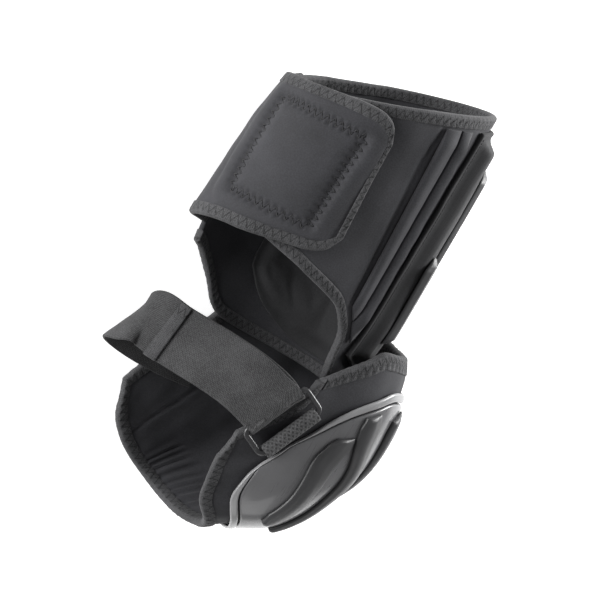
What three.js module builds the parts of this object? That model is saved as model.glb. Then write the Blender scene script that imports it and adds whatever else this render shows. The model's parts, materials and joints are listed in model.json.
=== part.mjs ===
// Elbow guard for batting, lying on its far side, in millimetres.
// X points from the front of the upper arm to its back, Y up the arm, Z up from the far side to the near side.
import * as THREE from 'three';

// Sizes of the upper-arm cuff
const CUFF_HEIGHT = 160;
const CUFF_FRONT_DEPTH = 67;
const CUFF_BACK_DEPTH = 62;
const CUFF_SIDE_DEPTH = 50;
const TOP_RISE_BACK = 18;
const TOP_RISE_NEAR = 6;
const HINGE_TURN = 222;
const NEAR_PANEL_TURN = 178;

// Sizes of the elbow cup
const CUP_LENGTH = 100;
const CUP_BACK = 40.5;
const CUP_DEPTH = 51;
const CUP_NEAR_SIDE = 51;
const ARM_HEIGHT = 50;
const ELBOW_BACK = 62.6;
const ELBOW_DROP = 39;
const FOREARM_BEND = 28;

// Walls, bindings and clearances
const SLEEVE_WALL = 3.5;
const CUP_WALL = 4;
const BINDING_WIDTH = 8;
const BINDING_PROUD = 0.8;
const SEAM_GAP = 0.5;
const LAYER_GAP = 0.5;

// Closure flap and its fastener
const HOOK_THICKNESS = 1.8;
const HOOK_EDGE = 19;

// Back pad, its ribs and the side rolls
const PAD_THICKNESS = 9.5;
const PAD_EDGE_THICKNESS = 3;
const PAD_EDGE_WIDTH = 8;
const PAD_RIB_HEIGHT = 4;
const ROLL_HEIGHT = 5.5;
const INNER_PAD_THICKNESS = 5;

// Hard shell and its ribs
const SHELL_LIFT = 1;
const SHELL_THICKNESS = 2.9;
const SHELL_RIM_WIDTH = 4.6;
const SHELL_GROOVE = 0.9;
const SHELL_RIB_HEIGHT = 2.8;
const SHELL_RIB_WIDTH = 15;
const SHELL_RIB_GAP = 0.8;
const FAR_RIB_SPREAD = 0.775;

// Strap, slot ring and webbing
const STRAP_WIDTH = 38;
const STRAP_THICKNESS = 1.8;
const STRAP_REACH = 67;
const STRAP_DROP = 33;
const STRAP_BOW = 5;
const RING_BAR = 3.5;
const RING_SLOT_WIDTH = 14;
const RING_SLOT_CLEARANCE = 1;
const RING_TURN_ROOM = 0.8;
const RING_TILT = 12;
const RING_FRONT = 11.4;
const RING_LIFT = 4.6;
const WEBBING_LENGTH = 15.5;
const HOOK_TAB_LENGTH = 8;
const STRAP_TAIL_SHARE = 0.12;

const DEGREE = Math.PI / 180;
const CUP_FAR_SIDE = ARM_HEIGHT - SHELL_LIFT - SHELL_THICKNESS;
const forearm = new THREE.Vector3(-Math.sin(FOREARM_BEND * DEGREE), -Math.cos(FOREARM_BEND * DEGREE), 0);
const elbowBack = new THREE.Vector3(Math.cos(FOREARM_BEND * DEGREE), -Math.sin(FOREARM_BEND * DEGREE), 0);
const elbow = new THREE.Vector3(ELBOW_BACK, -ELBOW_DROP, ARM_HEIGHT);

// Each row holds half depths of the cuff as shares of its named depths, at a share of its height.
const cuffRows = [
  { rise: -0.125, front: 0.985, back: 0.968, near: 0.89, far: 0.81 },
  { rise: 0.05, front: 1.03, back: 0.984, near: 0.9, far: 0.82 },
  { rise: 0.225, front: 1.045, back: 1, near: 0.98, far: 1.02 },
  { rise: 0.375, front: 1.03, back: 1, near: 1, far: 1.07 },
  { rise: 0.69, front: 0.96, back: 1, near: 1, far: 1.07 },
  { rise: 1, front: 0.82, back: 0.99, near: 1, far: 1.06 },
  { rise: 1.19, front: 0.761, back: 0.985, near: 1, far: 1.06 },
];

// Each row is a section across the forearm at a share of the cup's length past the elbow.
const cupRows = [
  { run: -0.8, back: -0.512, depth: 1.725, near: 1, far: 1 },
  { run: -0.7, back: -0.116, depth: 1.667, near: 1, far: 1 },
  { run: -0.59, back: 0.279, depth: 1.51, near: 1, far: 1 },
  { run: -0.33, back: 0.744, depth: 1.216, near: 1, far: 1 },
  { run: 0, back: 1, depth: 1, near: 1, far: 1 },
  { run: 0.26, back: 0.977, depth: 0.941, near: 1, far: 1 },
  { run: 0.44, back: 0.907, depth: 0.902, near: 0.98, far: 1 },
  { run: 0.58, back: 0.767, depth: 0.843, near: 0.941, far: 1 },
  { run: 0.75, back: 0.442, depth: 0.725, near: 0.863, far: 0.968 },
  { run: 0.9, back: 0.186, depth: 0.627, near: 0.784, far: 0.894 },
  { run: 1.04, back: 0, depth: 0.569, near: 0.725, far: 0.83 },
];

// The smooth value of one column of a table, at one value of its key column.
function read(rows, key, column, at) {
  const last = rows.length - 1;
  if (at <= rows[0][key]) return rows[0][column];
  if (at >= rows[last][key]) return rows[last][column];
  let i = 0;
  while (rows[i + 1][key] < at) i += 1;
  const before = rows[Math.max(0, i - 1)];
  const from = rows[i];
  const to = rows[i + 1];
  const after = rows[Math.min(last, i + 2)];
  const span = to[key] - from[key];
  const slopeFrom = ((to[column] - before[column]) / (to[key] - before[key])) * span;
  const slopeTo = ((after[column] - from[column]) / (after[key] - from[key])) * span;
  const u = (at - from[key]) / span;
  const u2 = u * u;
  const u3 = u2 * u;
  return (2 * u3 - 3 * u2 + 1) * from[column] + (u3 - 2 * u2 + u) * slopeFrom
    + (3 * u2 - 2 * u3) * to[column] + (u3 - u2) * slopeTo;
}

// The cuff's outer face: an oval round the upper arm, turned from the back (0) over the near side (90).
function cuffFace(turn, rise) {
  const share = rise / CUFF_HEIGHT;
  const c = Math.cos(turn * DEGREE);
  const s = Math.sin(turn * DEGREE);
  const depth = c >= 0
    ? CUFF_BACK_DEPTH * read(cuffRows, 'rise', 'back', share)
    : CUFF_FRONT_DEPTH * read(cuffRows, 'rise', 'front', share);
  const side = CUFF_SIDE_DEPTH * read(cuffRows, 'rise', s >= 0 ? 'near' : 'far', share);
  return new THREE.Vector3(depth * c, rise, ARM_HEIGHT + side * s);
}

// The cup's outer face: a round back with straight side walls, run along the forearm from the elbow.
function cupFace(turn, run) {
  const share = run / CUP_LENGTH;
  const depth = CUP_DEPTH * read(cupRows, 'run', 'depth', share);
  const middle = CUP_BACK * read(cupRows, 'run', 'back', share) - depth;
  const side = turn >= 0
    ? CUP_NEAR_SIDE * read(cupRows, 'run', 'near', share)
    : CUP_FAR_SIDE * read(cupRows, 'run', 'far', share);
  const past = Math.max(0, Math.abs(turn) - 90) * DEGREE;
  const round = Math.min(90, Math.abs(turn)) * DEGREE;
  return elbow.clone()
    .addScaledVector(forearm, run)
    .addScaledVector(elbowBack, middle + depth * Math.cos(round) - depth * past)
    .add(new THREE.Vector3(0, 0, Math.sign(turn) * side * Math.sin(round)));
}

// A point at a height over a face; what would sink below the resting plane is flattened on it.
function lifted(face, turn, run, height) {
  const step = 0.5;
  const across = face(turn + step, run).sub(face(turn - step, run));
  const along = face(turn, run + step).sub(face(turn, run - step));
  const normal = face === cuffFace ? along.cross(across) : across.cross(along);
  const point = face(turn, run).addScaledVector(normal.normalize(), height);
  point.z = Math.max(point.z, Math.max(0, -height));
  return point;
}

// A piece of a face between a first and a second edge, each given as turn and run.
class Patch {
  constructor(face, first, second) {
    this.face = face;
    this.first = first;
    this.second = second;
  }

  place(across, down) {
    return this.first(across).lerp(this.second(across), down);
  }

  point(across, down, height) {
    const at = this.place(across, down);
    return lifted(this.face, at.x, at.y, height);
  }

  // The length in millimetres of a line over the patch.
  length(from, to) {
    const steps = 12;
    let total = 0;
    let last = this.point(from[0], from[1], 0);
    for (let i = 1; i <= steps; i += 1) {
      const u = i / steps;
      const next = this.point(from[0] + (to[0] - from[0]) * u, from[1] + (to[1] - from[1]) * u, 0);
      total += next.distanceTo(last);
      last = next;
    }
    return total;
  }

  tall(across) {
    return this.length([across, 0], [across, 1]);
  }

  wide() {
    return this.length([0, 0.5], [1, 0.5]);
  }
}

// An edge through table rows of turn and share, smooth from end to end.
function edge(rows, length) {
  const curve = new THREE.SplineCurve(rows.map((row) => new THREE.Vector2(row.turn, row.share * length)));
  curve.arcLengthDivisions = 400;
  return (at) => curve.getPointAt(Math.min(1, Math.max(0, at)));
}

function spread(from, to, count) {
  return Array.from({ length: count + 1 }, (unused, i) => from + ((to - from) * i) / count);
}

function smooth(u) {
  const v = Math.min(1, Math.max(0, u));
  return v * v * (3 - 2 * v);
}

// A closed body from an index list, turned outside out if its faces point in.
function body(positions, triangles) {
  const flat = positions.flatMap((p) => [p.x, p.y, p.z]);
  let volume = 0;
  for (let i = 0; i < triangles.length; i += 3) {
    const [a, b, c] = [0, 1, 2].map((k) => positions[triangles[i + k]]);
    volume += a.dot(b.clone().cross(c)) / 6;
  }
  const index = volume < 0 ? triangles.slice().reverse() : triangles;
  const geometry = new THREE.BufferGeometry();
  geometry.setAttribute('position', new THREE.Float32BufferAttribute(flat, 3));
  geometry.setIndex(index);
  geometry.computeVertexNormals();
  return geometry;
}

// A wall over a patch: columns across it, and for each column the rows down it that it covers.
function wall(patch, columns, downRange, rows, inner, outer) {
  const wide = columns.length;
  const tall = rows + 1;
  const layers = [outer, inner].map((height) => columns.flatMap((across) => {
    const [start, end] = downRange(across);
    return spread(start, end, rows).map((down) => patch.point(across, down, height(across, down)));
  }));
  const triangles = [];
  const at = (layer, i, j) => layer * wide * tall + i * tall + j;
  const quad = (a, b, c, d) => triangles.push(a, b, c, a, c, d);
  for (let i = 0; i + 1 < wide; i += 1) {
    for (let j = 0; j + 1 < tall; j += 1) {
      quad(at(0, i, j), at(0, i + 1, j), at(0, i + 1, j + 1), at(0, i, j + 1));
      quad(at(1, i, j), at(1, i, j + 1), at(1, i + 1, j + 1), at(1, i + 1, j));
    }
    quad(at(0, i, 0), at(1, i, 0), at(1, i + 1, 0), at(0, i + 1, 0));
    quad(at(0, i, rows), at(0, i + 1, rows), at(1, i + 1, rows), at(1, i, rows));
  }
  for (let j = 0; j + 1 < tall; j += 1) {
    quad(at(0, 0, j), at(0, 0, j + 1), at(1, 0, j + 1), at(1, 0, j));
    quad(at(0, wide - 1, j), at(1, wide - 1, j), at(1, wide - 1, j + 1), at(0, wide - 1, j + 1));
  }
  return body(layers.flat(), triangles);
}

// A body swept through four-cornered sections, open with two ends or closed in a ring.
function swept(sections, closed = false) {
  const sides = sections[0].length;
  const triangles = [];
  const last = closed ? sections.length : sections.length - 1;
  for (let i = 0; i < last; i += 1) {
    const next = (i + 1) % sections.length;
    for (let k = 0; k < sides; k += 1) {
      const m = (k + 1) % sides;
      triangles.push(i * sides + k, next * sides + k, next * sides + m);
      triangles.push(i * sides + k, next * sides + m, i * sides + m);
    }
  }
  if (!closed) {
    const end = (sections.length - 1) * sides;
    for (let k = 1; k + 1 < sides; k += 1) {
      triangles.push(0, k, k + 1);
      triangles.push(end, end + k + 1, end + k);
    }
  }
  return body(sections.flat(), triangles);
}

// A binding along a line of edge stations, each with its outer and its inner place on the patch.
function binding(patch, stations, inner, outer, closed = false) {
  const sections = stations.map(([edgePlace, innerPlace]) => [
    patch.point(...edgePlace, outer(...edgePlace)),
    patch.point(...innerPlace, outer(...innerPlace)),
    patch.point(...innerPlace, inner(...innerPlace)),
    patch.point(...edgePlace, inner(...edgePlace)),
  ]);
  return swept(sections, closed);
}

// A flat band swept along a path, its width laid along a direction of its own at each station.
function band(stations, thickness) {
  const count = stations.length;
  return swept(stations.map(({ at, across, width }, i) => {
    const before = stations[Math.max(0, i - 1)].at;
    const after = stations[Math.min(count - 1, i + 1)].at;
    const tangent = after.clone().sub(before).normalize();
    const side = across.clone().addScaledVector(tangent, -across.dot(tangent)).normalize();
    const up = tangent.clone().cross(side);
    const corner = (u, v) => at.clone()
      .addScaledVector(side, (u * width) / 2)
      .addScaledVector(up, (v * thickness) / 2);
    return [corner(1, 1), corner(-1, 1), corner(-1, -1), corner(1, -1)];
  }));
}

const guard = new THREE.Group();

function finish(color, roughness, metalness = 0) {
  return new THREE.MeshStandardMaterial({ color, roughness, metalness });
}

const neoprene = finish(0x35363a, 0.85);
const lining = finish(0x232427, 0.9);
const tape = finish(0x2c2d30, 0.8);
const foamSkin = finish(0x2f3033, 0.75);
const elastic = finish(0x4a4b4d, 0.9);
const shellPlastic = finish(0x77787b, 0.3);
const rimPlastic = finish(0x8f9093, 0.35);
const ribRubber = finish(0x2a2b2d, 0.6);
const ringPlastic = finish(0x3a3b3d, 0.35);

function add(name, geometry, material) {
  const mesh = new THREE.Mesh(geometry, material);
  mesh.name = name;
  guard.add(mesh);
}

// The cuff: one wall from the hinge of the flap round the far side and the back to the near panel
function topEdge(turn, drop = 0) {
  const rise = CUFF_HEIGHT + TOP_RISE_BACK * Math.cos(turn * DEGREE) + TOP_RISE_NEAR * Math.sin(turn * DEGREE);
  return new THREE.Vector2(turn, rise - drop);
}

const farStart = HINGE_TURN - 360;
const cuffLower = edge([
  { turn: farStart, share: 0.16 },
  { turn: -129.6, share: 0.133 },
  { turn: -115.5, share: 0.045 },
  { turn: -104.4, share: -0.04 },
  { turn: -92, share: -0.075 },
  { turn: -60, share: -0.088 },
  { turn: 0, share: -0.088 },
  { turn: 38, share: -0.085 },
  { turn: 54, share: -0.045 },
  { turn: 60.4, share: 0.043 },
  { turn: 65, share: 0.132 },
  { turn: 71, share: 0.182 },
  { turn: 80.6, share: 0.243 },
  { turn: 90.5, share: 0.272 },
  { turn: 104.4, share: 0.303 },
  { turn: 118.3, share: 0.33 },
  { turn: 145, share: 0.36 },
  { turn: NEAR_PANEL_TURN, share: 0.35 },
], CUFF_HEIGHT);
const cuffPatch = new Patch(
  cuffFace,
  (at) => topEdge(farStart + (NEAR_PANEL_TURN - farStart) * at),
  cuffLower,
);

const cuffColumns = spread(0, 1, 48);
const cuffMargin = (across) => (BINDING_WIDTH + SEAM_GAP) / cuffPatch.tall(across);
add('cuff_sleeve', wall(
  cuffPatch,
  cuffColumns,
  (across) => [cuffMargin(across), 1 - cuffMargin(across)],
  12,
  () => -SLEEVE_WALL,
  () => 0,
), neoprene);

function cuffBinding(name, down, direction) {
  const stations = cuffColumns.map((across) => {
    const inset = BINDING_WIDTH / cuffPatch.tall(across);
    return [[across, down], [across, down + direction * inset]];
  });
  const inner = () => -SLEEVE_WALL - BINDING_PROUD;
  add(name, binding(cuffPatch, stations, inner, () => BINDING_PROUD), tape);
}

cuffBinding('cuff_top_binding', 0, 1);
cuffBinding('cuff_lower_binding', 1, -1);

// The closure flap: it hinges on the far wall, wraps over the front and closes on the near panel
const flapUpper = edge([
  { turn: HINGE_TURN - 0.6, share: 0.9 },
  { turn: 205, share: 0.885 },
  { turn: 185, share: 0.89 },
  { turn: 166, share: 0.903 },
  { turn: 142, share: 0.93 },
  { turn: 130, share: 0.945 },
  { turn: 117, share: 0.948 },
  { turn: 109, share: 0.922 },
  { turn: 104.5, share: 0.865 },
], CUFF_HEIGHT);
const flapLower = edge([
  { turn: HINGE_TURN - 0.6, share: 0.238 },
  { turn: 213, share: 0.248 },
  { turn: 190, share: 0.272 },
  { turn: 162, share: 0.318 },
  { turn: 145, share: 0.338 },
  { turn: 125, share: 0.372 },
  { turn: 112, share: 0.395 },
  { turn: 105, share: 0.428 },
  { turn: 101, share: 0.485 },
], CUFF_HEIGHT);
const flapPatch = new Patch(cuffFace, flapUpper, flapLower);
const FLAP_LIFT = LAYER_GAP + HOOK_THICKNESS + LAYER_GAP;

// The flap stands over the near panel and comes down flush with the far wall at its hinge.
function flapLift(across, down) {
  const { x: turn } = flapPatch.place(across, down);
  const share = smooth((turn - NEAR_PANEL_TURN - 4) / (HINGE_TURN - NEAR_PANEL_TURN - 6));
  return FLAP_LIFT - (FLAP_LIFT + SLEEVE_WALL) * share;
}

const flapColumns = spread(0, 1, 24);
const flapEndMargin = BINDING_WIDTH / flapPatch.wide();
const flapMargin = (across) => (BINDING_WIDTH + SEAM_GAP) / flapPatch.tall(across);
const flapBodyEnd = 1 - flapEndMargin - SEAM_GAP / flapPatch.wide();
add('closure_flap', wall(
  flapPatch,
  flapColumns.map((across) => across * flapBodyEnd),
  (across) => [flapMargin(across), 1 - flapMargin(across)],
  5,
  flapLift,
  (across, down) => flapLift(across, down) + SLEEVE_WALL,
), neoprene);

const flapInset = (across) => BINDING_WIDTH / flapPatch.tall(across);
const flapSide = flapColumns.slice(0, -1).map((across) => across * flapBodyEnd);
const flapEndInset = flapInset(flapBodyEnd);
const flapStations = [
  ...flapSide.map((across) => [[across, 0], [across, flapInset(across)]]),
  [[1, 0], [1 - flapEndMargin, flapEndInset]],
  ...spread(flapEndInset * 1.5, 1 - flapEndInset * 1.5, 5).map((down) => [[1, down], [1 - flapEndMargin, down]]),
  [[1, 1], [1 - flapEndMargin, 1 - flapEndInset]],
  ...flapSide.slice().reverse().map((across) => [[across, 1], [across, 1 - flapInset(across)]]),
];
add('flap_binding', binding(
  flapPatch,
  flapStations,
  (across, down) => flapLift(across, down) - BINDING_PROUD / 2,
  (across, down) => flapLift(across, down) + SLEEVE_WALL + BINDING_PROUD,
), tape);

// The hook fastener sewn behind the stitched square of the flap
const hookStart = (170 - HINGE_TURN) / (102 - HINGE_TURN);
const hookEnd = (113 - HINGE_TURN) / (102 - HINGE_TURN);
const hookMargin = (across) => HOOK_EDGE / flapPatch.tall(across);
add('hook_fastener', wall(
  flapPatch,
  spread(hookStart, hookEnd, 10),
  (across) => [hookMargin(across), 1 - hookMargin(across)],
  3,
  () => LAYER_GAP,
  () => LAYER_GAP + HOOK_THICKNESS,
), lining);

// A cushion over the cuff: thick inside, thin along its sewn edge
function cushion(patch, edgeHeight, fullHeight, edgeWidth) {
  const wide = patch.wide();
  return (across, down) => {
    const side = Math.min(across, 1 - across) * wide;
    const end = Math.min(down, 1 - down) * patch.tall(across);
    const rise = smooth((Math.min(side, end) - edgeWidth * 0.55) / (edgeWidth * 0.9));
    return edgeHeight + (fullHeight - edgeHeight) * rise;
  };
}

const padTop = (turn) => topEdge(turn, BINDING_WIDTH + SEAM_GAP + LAYER_GAP).y;
const padPatch = new Patch(
  cuffFace,
  (at) => new THREE.Vector2(-50 + 100 * at, padTop(-50 + 100 * at)),
  edge([
    { turn: -48, share: 0.08 },
    { turn: -24, share: 0.03 },
    { turn: 0, share: 0.02 },
    { turn: 26, share: 0.03 },
    { turn: 53, share: 0.09 },
  ], CUFF_HEIGHT),
);
const padOuter = cushion(padPatch, PAD_EDGE_THICKNESS + LAYER_GAP, PAD_THICKNESS + LAYER_GAP, PAD_EDGE_WIDTH);
add('back_pad', wall(
  padPatch,
  spread(0, 1, 20),
  () => [0, 1],
  10,
  () => LAYER_GAP,
  padOuter,
), foamSkin);

// The raised ribs of the back pad, given by their middle line and half width in degrees
const padRibs = [
  { name: 'pad_rib_spine_near', top: 0.92, low: 0.19, turn: 15, lean: 2, half: 9, point: 0.08 },
  { name: 'pad_rib_spine_far', top: 0.92, low: 0.19, turn: -15, lean: -2, half: 9, point: 0.08 },
  { name: 'pad_rib_side_near', top: 0.56, low: 0.19, turn: 36, lean: 3, half: 6.5, point: 0.2 },
  { name: 'pad_rib_side_far', top: 0.56, low: 0.19, turn: -36, lean: -3, half: 6.5, point: 0.2 },
];

for (const rib of padRibs) {
  const side = (sign) => (at) => {
    const pointed = Math.min(1, at / rib.point + 0.25);
    const turn = rib.turn - rib.lean * at + sign * rib.half * pointed;
    return new THREE.Vector2(turn, CUFF_HEIGHT * (rib.top + (rib.low - rib.top) * at));
  };
  const patch = new Patch(cuffFace, side(-1), side(1));
  add(rib.name, wall(
    patch,
    [0, 0.08, 0.2, 0.4, 0.6, 0.8, 1],
    () => [0, 1],
    2,
    () => PAD_THICKNESS + LAYER_GAP * 2,
    () => PAD_THICKNESS + LAYER_GAP * 2 + PAD_RIB_HEIGHT,
  ), ribRubber);
}

// The two sewn rolls beside the back pad on the near panel
const rolls = [
  { name: 'side_roll_front', upper: [68.5, 78.5], lower: [67, 73] },
  { name: 'side_roll_rear', upper: [59, 67.5], lower: [57, 66] },
];

for (const roll of rolls) {
  const side = (k) => (at) => {
    const turn = roll.upper[k] + (roll.lower[k] - roll.upper[k]) * at;
    return new THREE.Vector2(turn, padTop(turn) + (CUFF_HEIGHT * (0.14 + 0.0085 * (turn - 57)) - padTop(turn)) * at);
  };
  const patch = new Patch(cuffFace, side(0), side(1));
  add(roll.name, wall(
    patch,
    spread(0, 1, 9),
    () => [0, 1],
    4,
    () => LAYER_GAP,
    (across, down) => LAYER_GAP + 0.8 + ROLL_HEIGHT * Math.sqrt(Math.max(0, 1 - (2 * down - 1) ** 2)) * smooth(across * 8 + 0.3)
      * smooth((1 - across) * 8 + 0.3),
  ), neoprene);
}

// The lined pad inside the back of the cuff
const innerPatch = new Patch(
  cuffFace,
  (at) => topEdge(-92 + 140 * at, 16),
  edge([
    { turn: -93, share: 0.15 },
    { turn: -84, share: 0.075 },
    { turn: -69, share: 0.02 },
    { turn: -44, share: -0.022 },
    { turn: 0, share: -0.025 },
    { turn: 36, share: -0.015 },
    { turn: 46, share: 0.05 },
  ], CUFF_HEIGHT),
);
const innerRise = cushion(innerPatch, 1.4, INNER_PAD_THICKNESS, PAD_EDGE_WIDTH);
add('inner_pad', wall(
  innerPatch,
  spread(0, 1, 20),
  () => [0, 1],
  9,
  (across, down) => -SLEEVE_WALL - 2 * LAYER_GAP - innerRise(across, down),
  () => -SLEEVE_WALL - 2 * LAYER_GAP,
), lining);

// The elbow cup: from its collar over the back of the elbow to the forearm edge
const cupPatch = new Patch(
  cupFace,
  edge([
    { turn: -166, share: -0.02 },
    { turn: -140, share: -0.1 },
    { turn: -115, share: -0.22 },
    { turn: -90, share: -0.38 },
    { turn: -70, share: -0.5 },
    { turn: -45, share: -0.63 },
    { turn: -20, share: -0.69 },
    { turn: 0, share: -0.7 },
    { turn: 20, share: -0.69 },
    { turn: 45, share: -0.65 },
    { turn: 69, share: -0.57 },
    { turn: 85, share: -0.46 },
    { turn: 105, share: -0.306 },
    { turn: 128, share: -0.11 },
  ], CUP_LENGTH),
  edge([
    { turn: -180, share: 0.78 },
    { turn: -157, share: 0.94 },
    { turn: -129, share: 1.005 },
    { turn: -99, share: 1.03 },
    { turn: -61, share: 1.035 },
    { turn: -34, share: 1.03 },
    { turn: -8, share: 1.01 },
    { turn: 20, share: 0.96 },
    { turn: 60, share: 0.9 },
    { turn: 96, share: 0.85 },
    { turn: 118, share: 0.75 },
    { turn: 134, share: 0.65 },
    { turn: 144, share: 0.55 },
    { turn: 148, share: 0.43 },
  ], CUP_LENGTH),
);
const cupSideMargin = BINDING_WIDTH / cupPatch.wide();
const cupSeam = SEAM_GAP / cupPatch.wide();
const cupInset = (across) => BINDING_WIDTH / cupPatch.tall(across);
const cupColumns = spread(cupSideMargin + cupSeam, 1 - cupSideMargin - cupSeam, 34);
const COLLAR_START = 10;
const cupSeamDown = (across) => SEAM_GAP / cupPatch.tall(across);
add('elbow_cup', wall(
  cupPatch,
  cupColumns,
  (across) => {
    const isBound = across >= cupColumns[COLLAR_START];
    const start = isBound ? cupInset(across) + cupSeamDown(across) : 0;
    return [start, 1 - cupInset(across) - cupSeamDown(across)];
  },
  11,
  () => -CUP_WALL,
  () => 0,
), neoprene);

const cupInner = () => -CUP_WALL - BINDING_PROUD;
const cupOuter = () => BINDING_PROUD;
add('collar_binding', binding(
  cupPatch,
  cupColumns.slice(COLLAR_START).map((across) => [[across, 0], [across, cupInset(across)]]),
  cupInner,
  cupOuter,
), tape);

const farInset = cupInset(0.05);
const nearInset = cupInset(0.95);
const cupStations = [
  ...spread(0, 1 - nearInset * 1.6, 6).map((down) => [[1, down], [1 - cupSideMargin, down]]),
  [[1, 1], [1 - cupSideMargin, 1 - nearInset]],
  ...cupColumns.slice(2, -2).reverse().map((across) => [[across, 1], [across, 1 - cupInset(across)]]),
  [[0, 1], [cupSideMargin, 1 - farInset]],
  ...spread(1 - farInset * 1.6, 0, 6).map((down) => [[0, down], [cupSideMargin, down]]),
];
add('cup_rim_binding', binding(cupPatch, cupStations, cupInner, cupOuter), tape);

// The hard shell over the back of the elbow, with a sunk rim strip round it
function mirrored(rows) {
  const farHalf = rows.filter((row) => row.turn > 0).map((row) => ({ turn: -row.turn, share: row.share }));
  return [...farHalf.reverse(), ...rows];
}

const shellPatch = new Patch(
  cupFace,
  edge(mirrored([
    { turn: 0, share: -0.54 },
    { turn: 28, share: -0.53 },
    { turn: 54, share: -0.476 },
    { turn: 74, share: -0.35 },
    { turn: 92, share: -0.19 },
    { turn: 108, share: 0.016 },
    { turn: 115, share: 0.25 },
  ]), CUP_LENGTH),
  edge(mirrored([
    { turn: 0, share: 0.81 },
    { turn: 25, share: 0.8 },
    { turn: 60, share: 0.765 },
    { turn: 95, share: 0.685 },
    { turn: 112, share: 0.545 },
    { turn: 116, share: 0.42 },
  ]), CUP_LENGTH),
);
const rimShare = SHELL_RIM_WIDTH / shellPatch.wide();
const bodyShare = (SHELL_RIM_WIDTH + SHELL_GROOVE) / shellPatch.wide();
const rimInset = (across) => SHELL_RIM_WIDTH / shellPatch.tall(across);
const grooveInset = (across) => (SHELL_RIM_WIDTH + SHELL_GROOVE) / shellPatch.tall(across);
const shellColumns = spread(bodyShare, 1 - bodyShare, 22);
add('hard_shell', wall(
  shellPatch,
  shellColumns,
  (across) => [grooveInset(across), 1 - grooveInset(across)],
  10,
  () => SHELL_LIFT,
  () => SHELL_LIFT + SHELL_THICKNESS,
), shellPlastic);

const rimEnd = rimInset(rimShare);
const rimStations = [
  [[0, 0], [rimShare, rimEnd]],
  ...shellColumns.slice(1, -1).map((across) => [[across, 0], [across, rimInset(across)]]),
  [[1, 0], [1 - rimShare, rimEnd]],
  [[1, 0.5], [1 - rimShare, 0.5]],
  [[1, 1], [1 - rimShare, 1 - rimEnd]],
  ...shellColumns.slice(1, -1).reverse().map((across) => [[across, 1], [across, 1 - rimInset(across)]]),
  [[0, 1], [rimShare, 1 - rimEnd]],
  [[0, 0.5], [rimShare, 0.5]],
];
add('shell_rim', binding(
  shellPatch,
  rimStations,
  () => SHELL_LIFT,
  () => SHELL_LIFT + SHELL_THICKNESS * 0.7,
  true,
), rimPlastic);

// The wave-shaped ribs of the shell, each by rows of its middle line
const shellRibs = [
  { name: 'outer', rows: [
    { turn: 87, share: -0.07 }, { turn: 88, share: 0.1 }, { turn: 79, share: 0.25 },
    { turn: 70, share: 0.4 }, { turn: 62, share: 0.6 },
  ] },
  { name: 'middle', rows: [
    { turn: 74, share: -0.28 }, { turn: 70, share: -0.13 }, { turn: 60, share: 0 },
    { turn: 50, share: 0.15 }, { turn: 40, share: 0.35 }, { turn: 33, share: 0.58 },
  ] },
  { name: 'inner', rows: [
    { turn: 44, share: -0.4 }, { turn: 38, share: -0.2 }, { turn: 24, share: 0 },
    { turn: 17, share: 0.2 }, { turn: 14, share: 0.5 },
  ] },
];

for (const [word, sign] of [['near', 1], ['far', -FAR_RIB_SPREAD]]) {
  for (const rib of shellRibs) {
    const middle = edge(rib.rows.map((row) => ({ turn: sign * row.turn, share: row.share })), CUP_LENGTH);
    const half = SHELL_RIB_WIDTH / 2 / (CUP_DEPTH * DEGREE);
    const side = (direction) => (at) => {
      const place = middle(at);
      const pointed = Math.min(1, 0.35 + at * 5, 0.35 + (1 - at) * 7);
      return new THREE.Vector2(place.x + direction * half * pointed, place.y + direction * sign * half * 0.5 * (1 - at));
    };
    const patch = new Patch(cupFace, side(-1), side(1));
    const base = SHELL_LIFT + SHELL_THICKNESS + SHELL_RIB_GAP;
    add(`shell_rib_${rib.name}_${word}`, wall(
      patch,
      spread(0, 1, 8),
      () => [0, 1],
      2,
      () => base,
      (across, down) => base + SHELL_RIB_HEIGHT * (0.55 + 0.45 * smooth(4 * Math.min(down, 1 - down))),
    ), ribRubber);
  }
}

// The slot ring at the near rim of the cup, its long side along the forearm
const tilt = RING_TILT * DEGREE;
const pull = elbowBack.clone().multiplyScalar(-Math.cos(tilt)).add(new THREE.Vector3(0, 0, -Math.sin(tilt)));
const ringTop = ARM_HEIGHT + CUP_NEAR_SIDE + BINDING_PROUD + LAYER_GAP + RING_LIFT;
const ringMiddle = new THREE.Vector3(RING_FRONT, -STRAP_DROP, ringTop);
const slotLength = STRAP_WIDTH + 2 * RING_SLOT_CLEARANCE;

function roundedLoop(target, length, width, radius) {
  const x = length / 2;
  const y = width / 2;
  target.moveTo(-x + radius, -y);
  target.lineTo(x - radius, -y);
  target.absarc(x - radius, -y + radius, radius, -Math.PI / 2, 0, false);
  target.lineTo(x, y - radius);
  target.absarc(x - radius, y - radius, radius, 0, Math.PI / 2, false);
  target.lineTo(-x + radius, y);
  target.absarc(-x + radius, y - radius, radius, Math.PI / 2, Math.PI, false);
  target.lineTo(-x, -y + radius);
  target.absarc(-x + radius, -y + radius, radius, Math.PI, 1.5 * Math.PI, false);
  return target;
}

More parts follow.
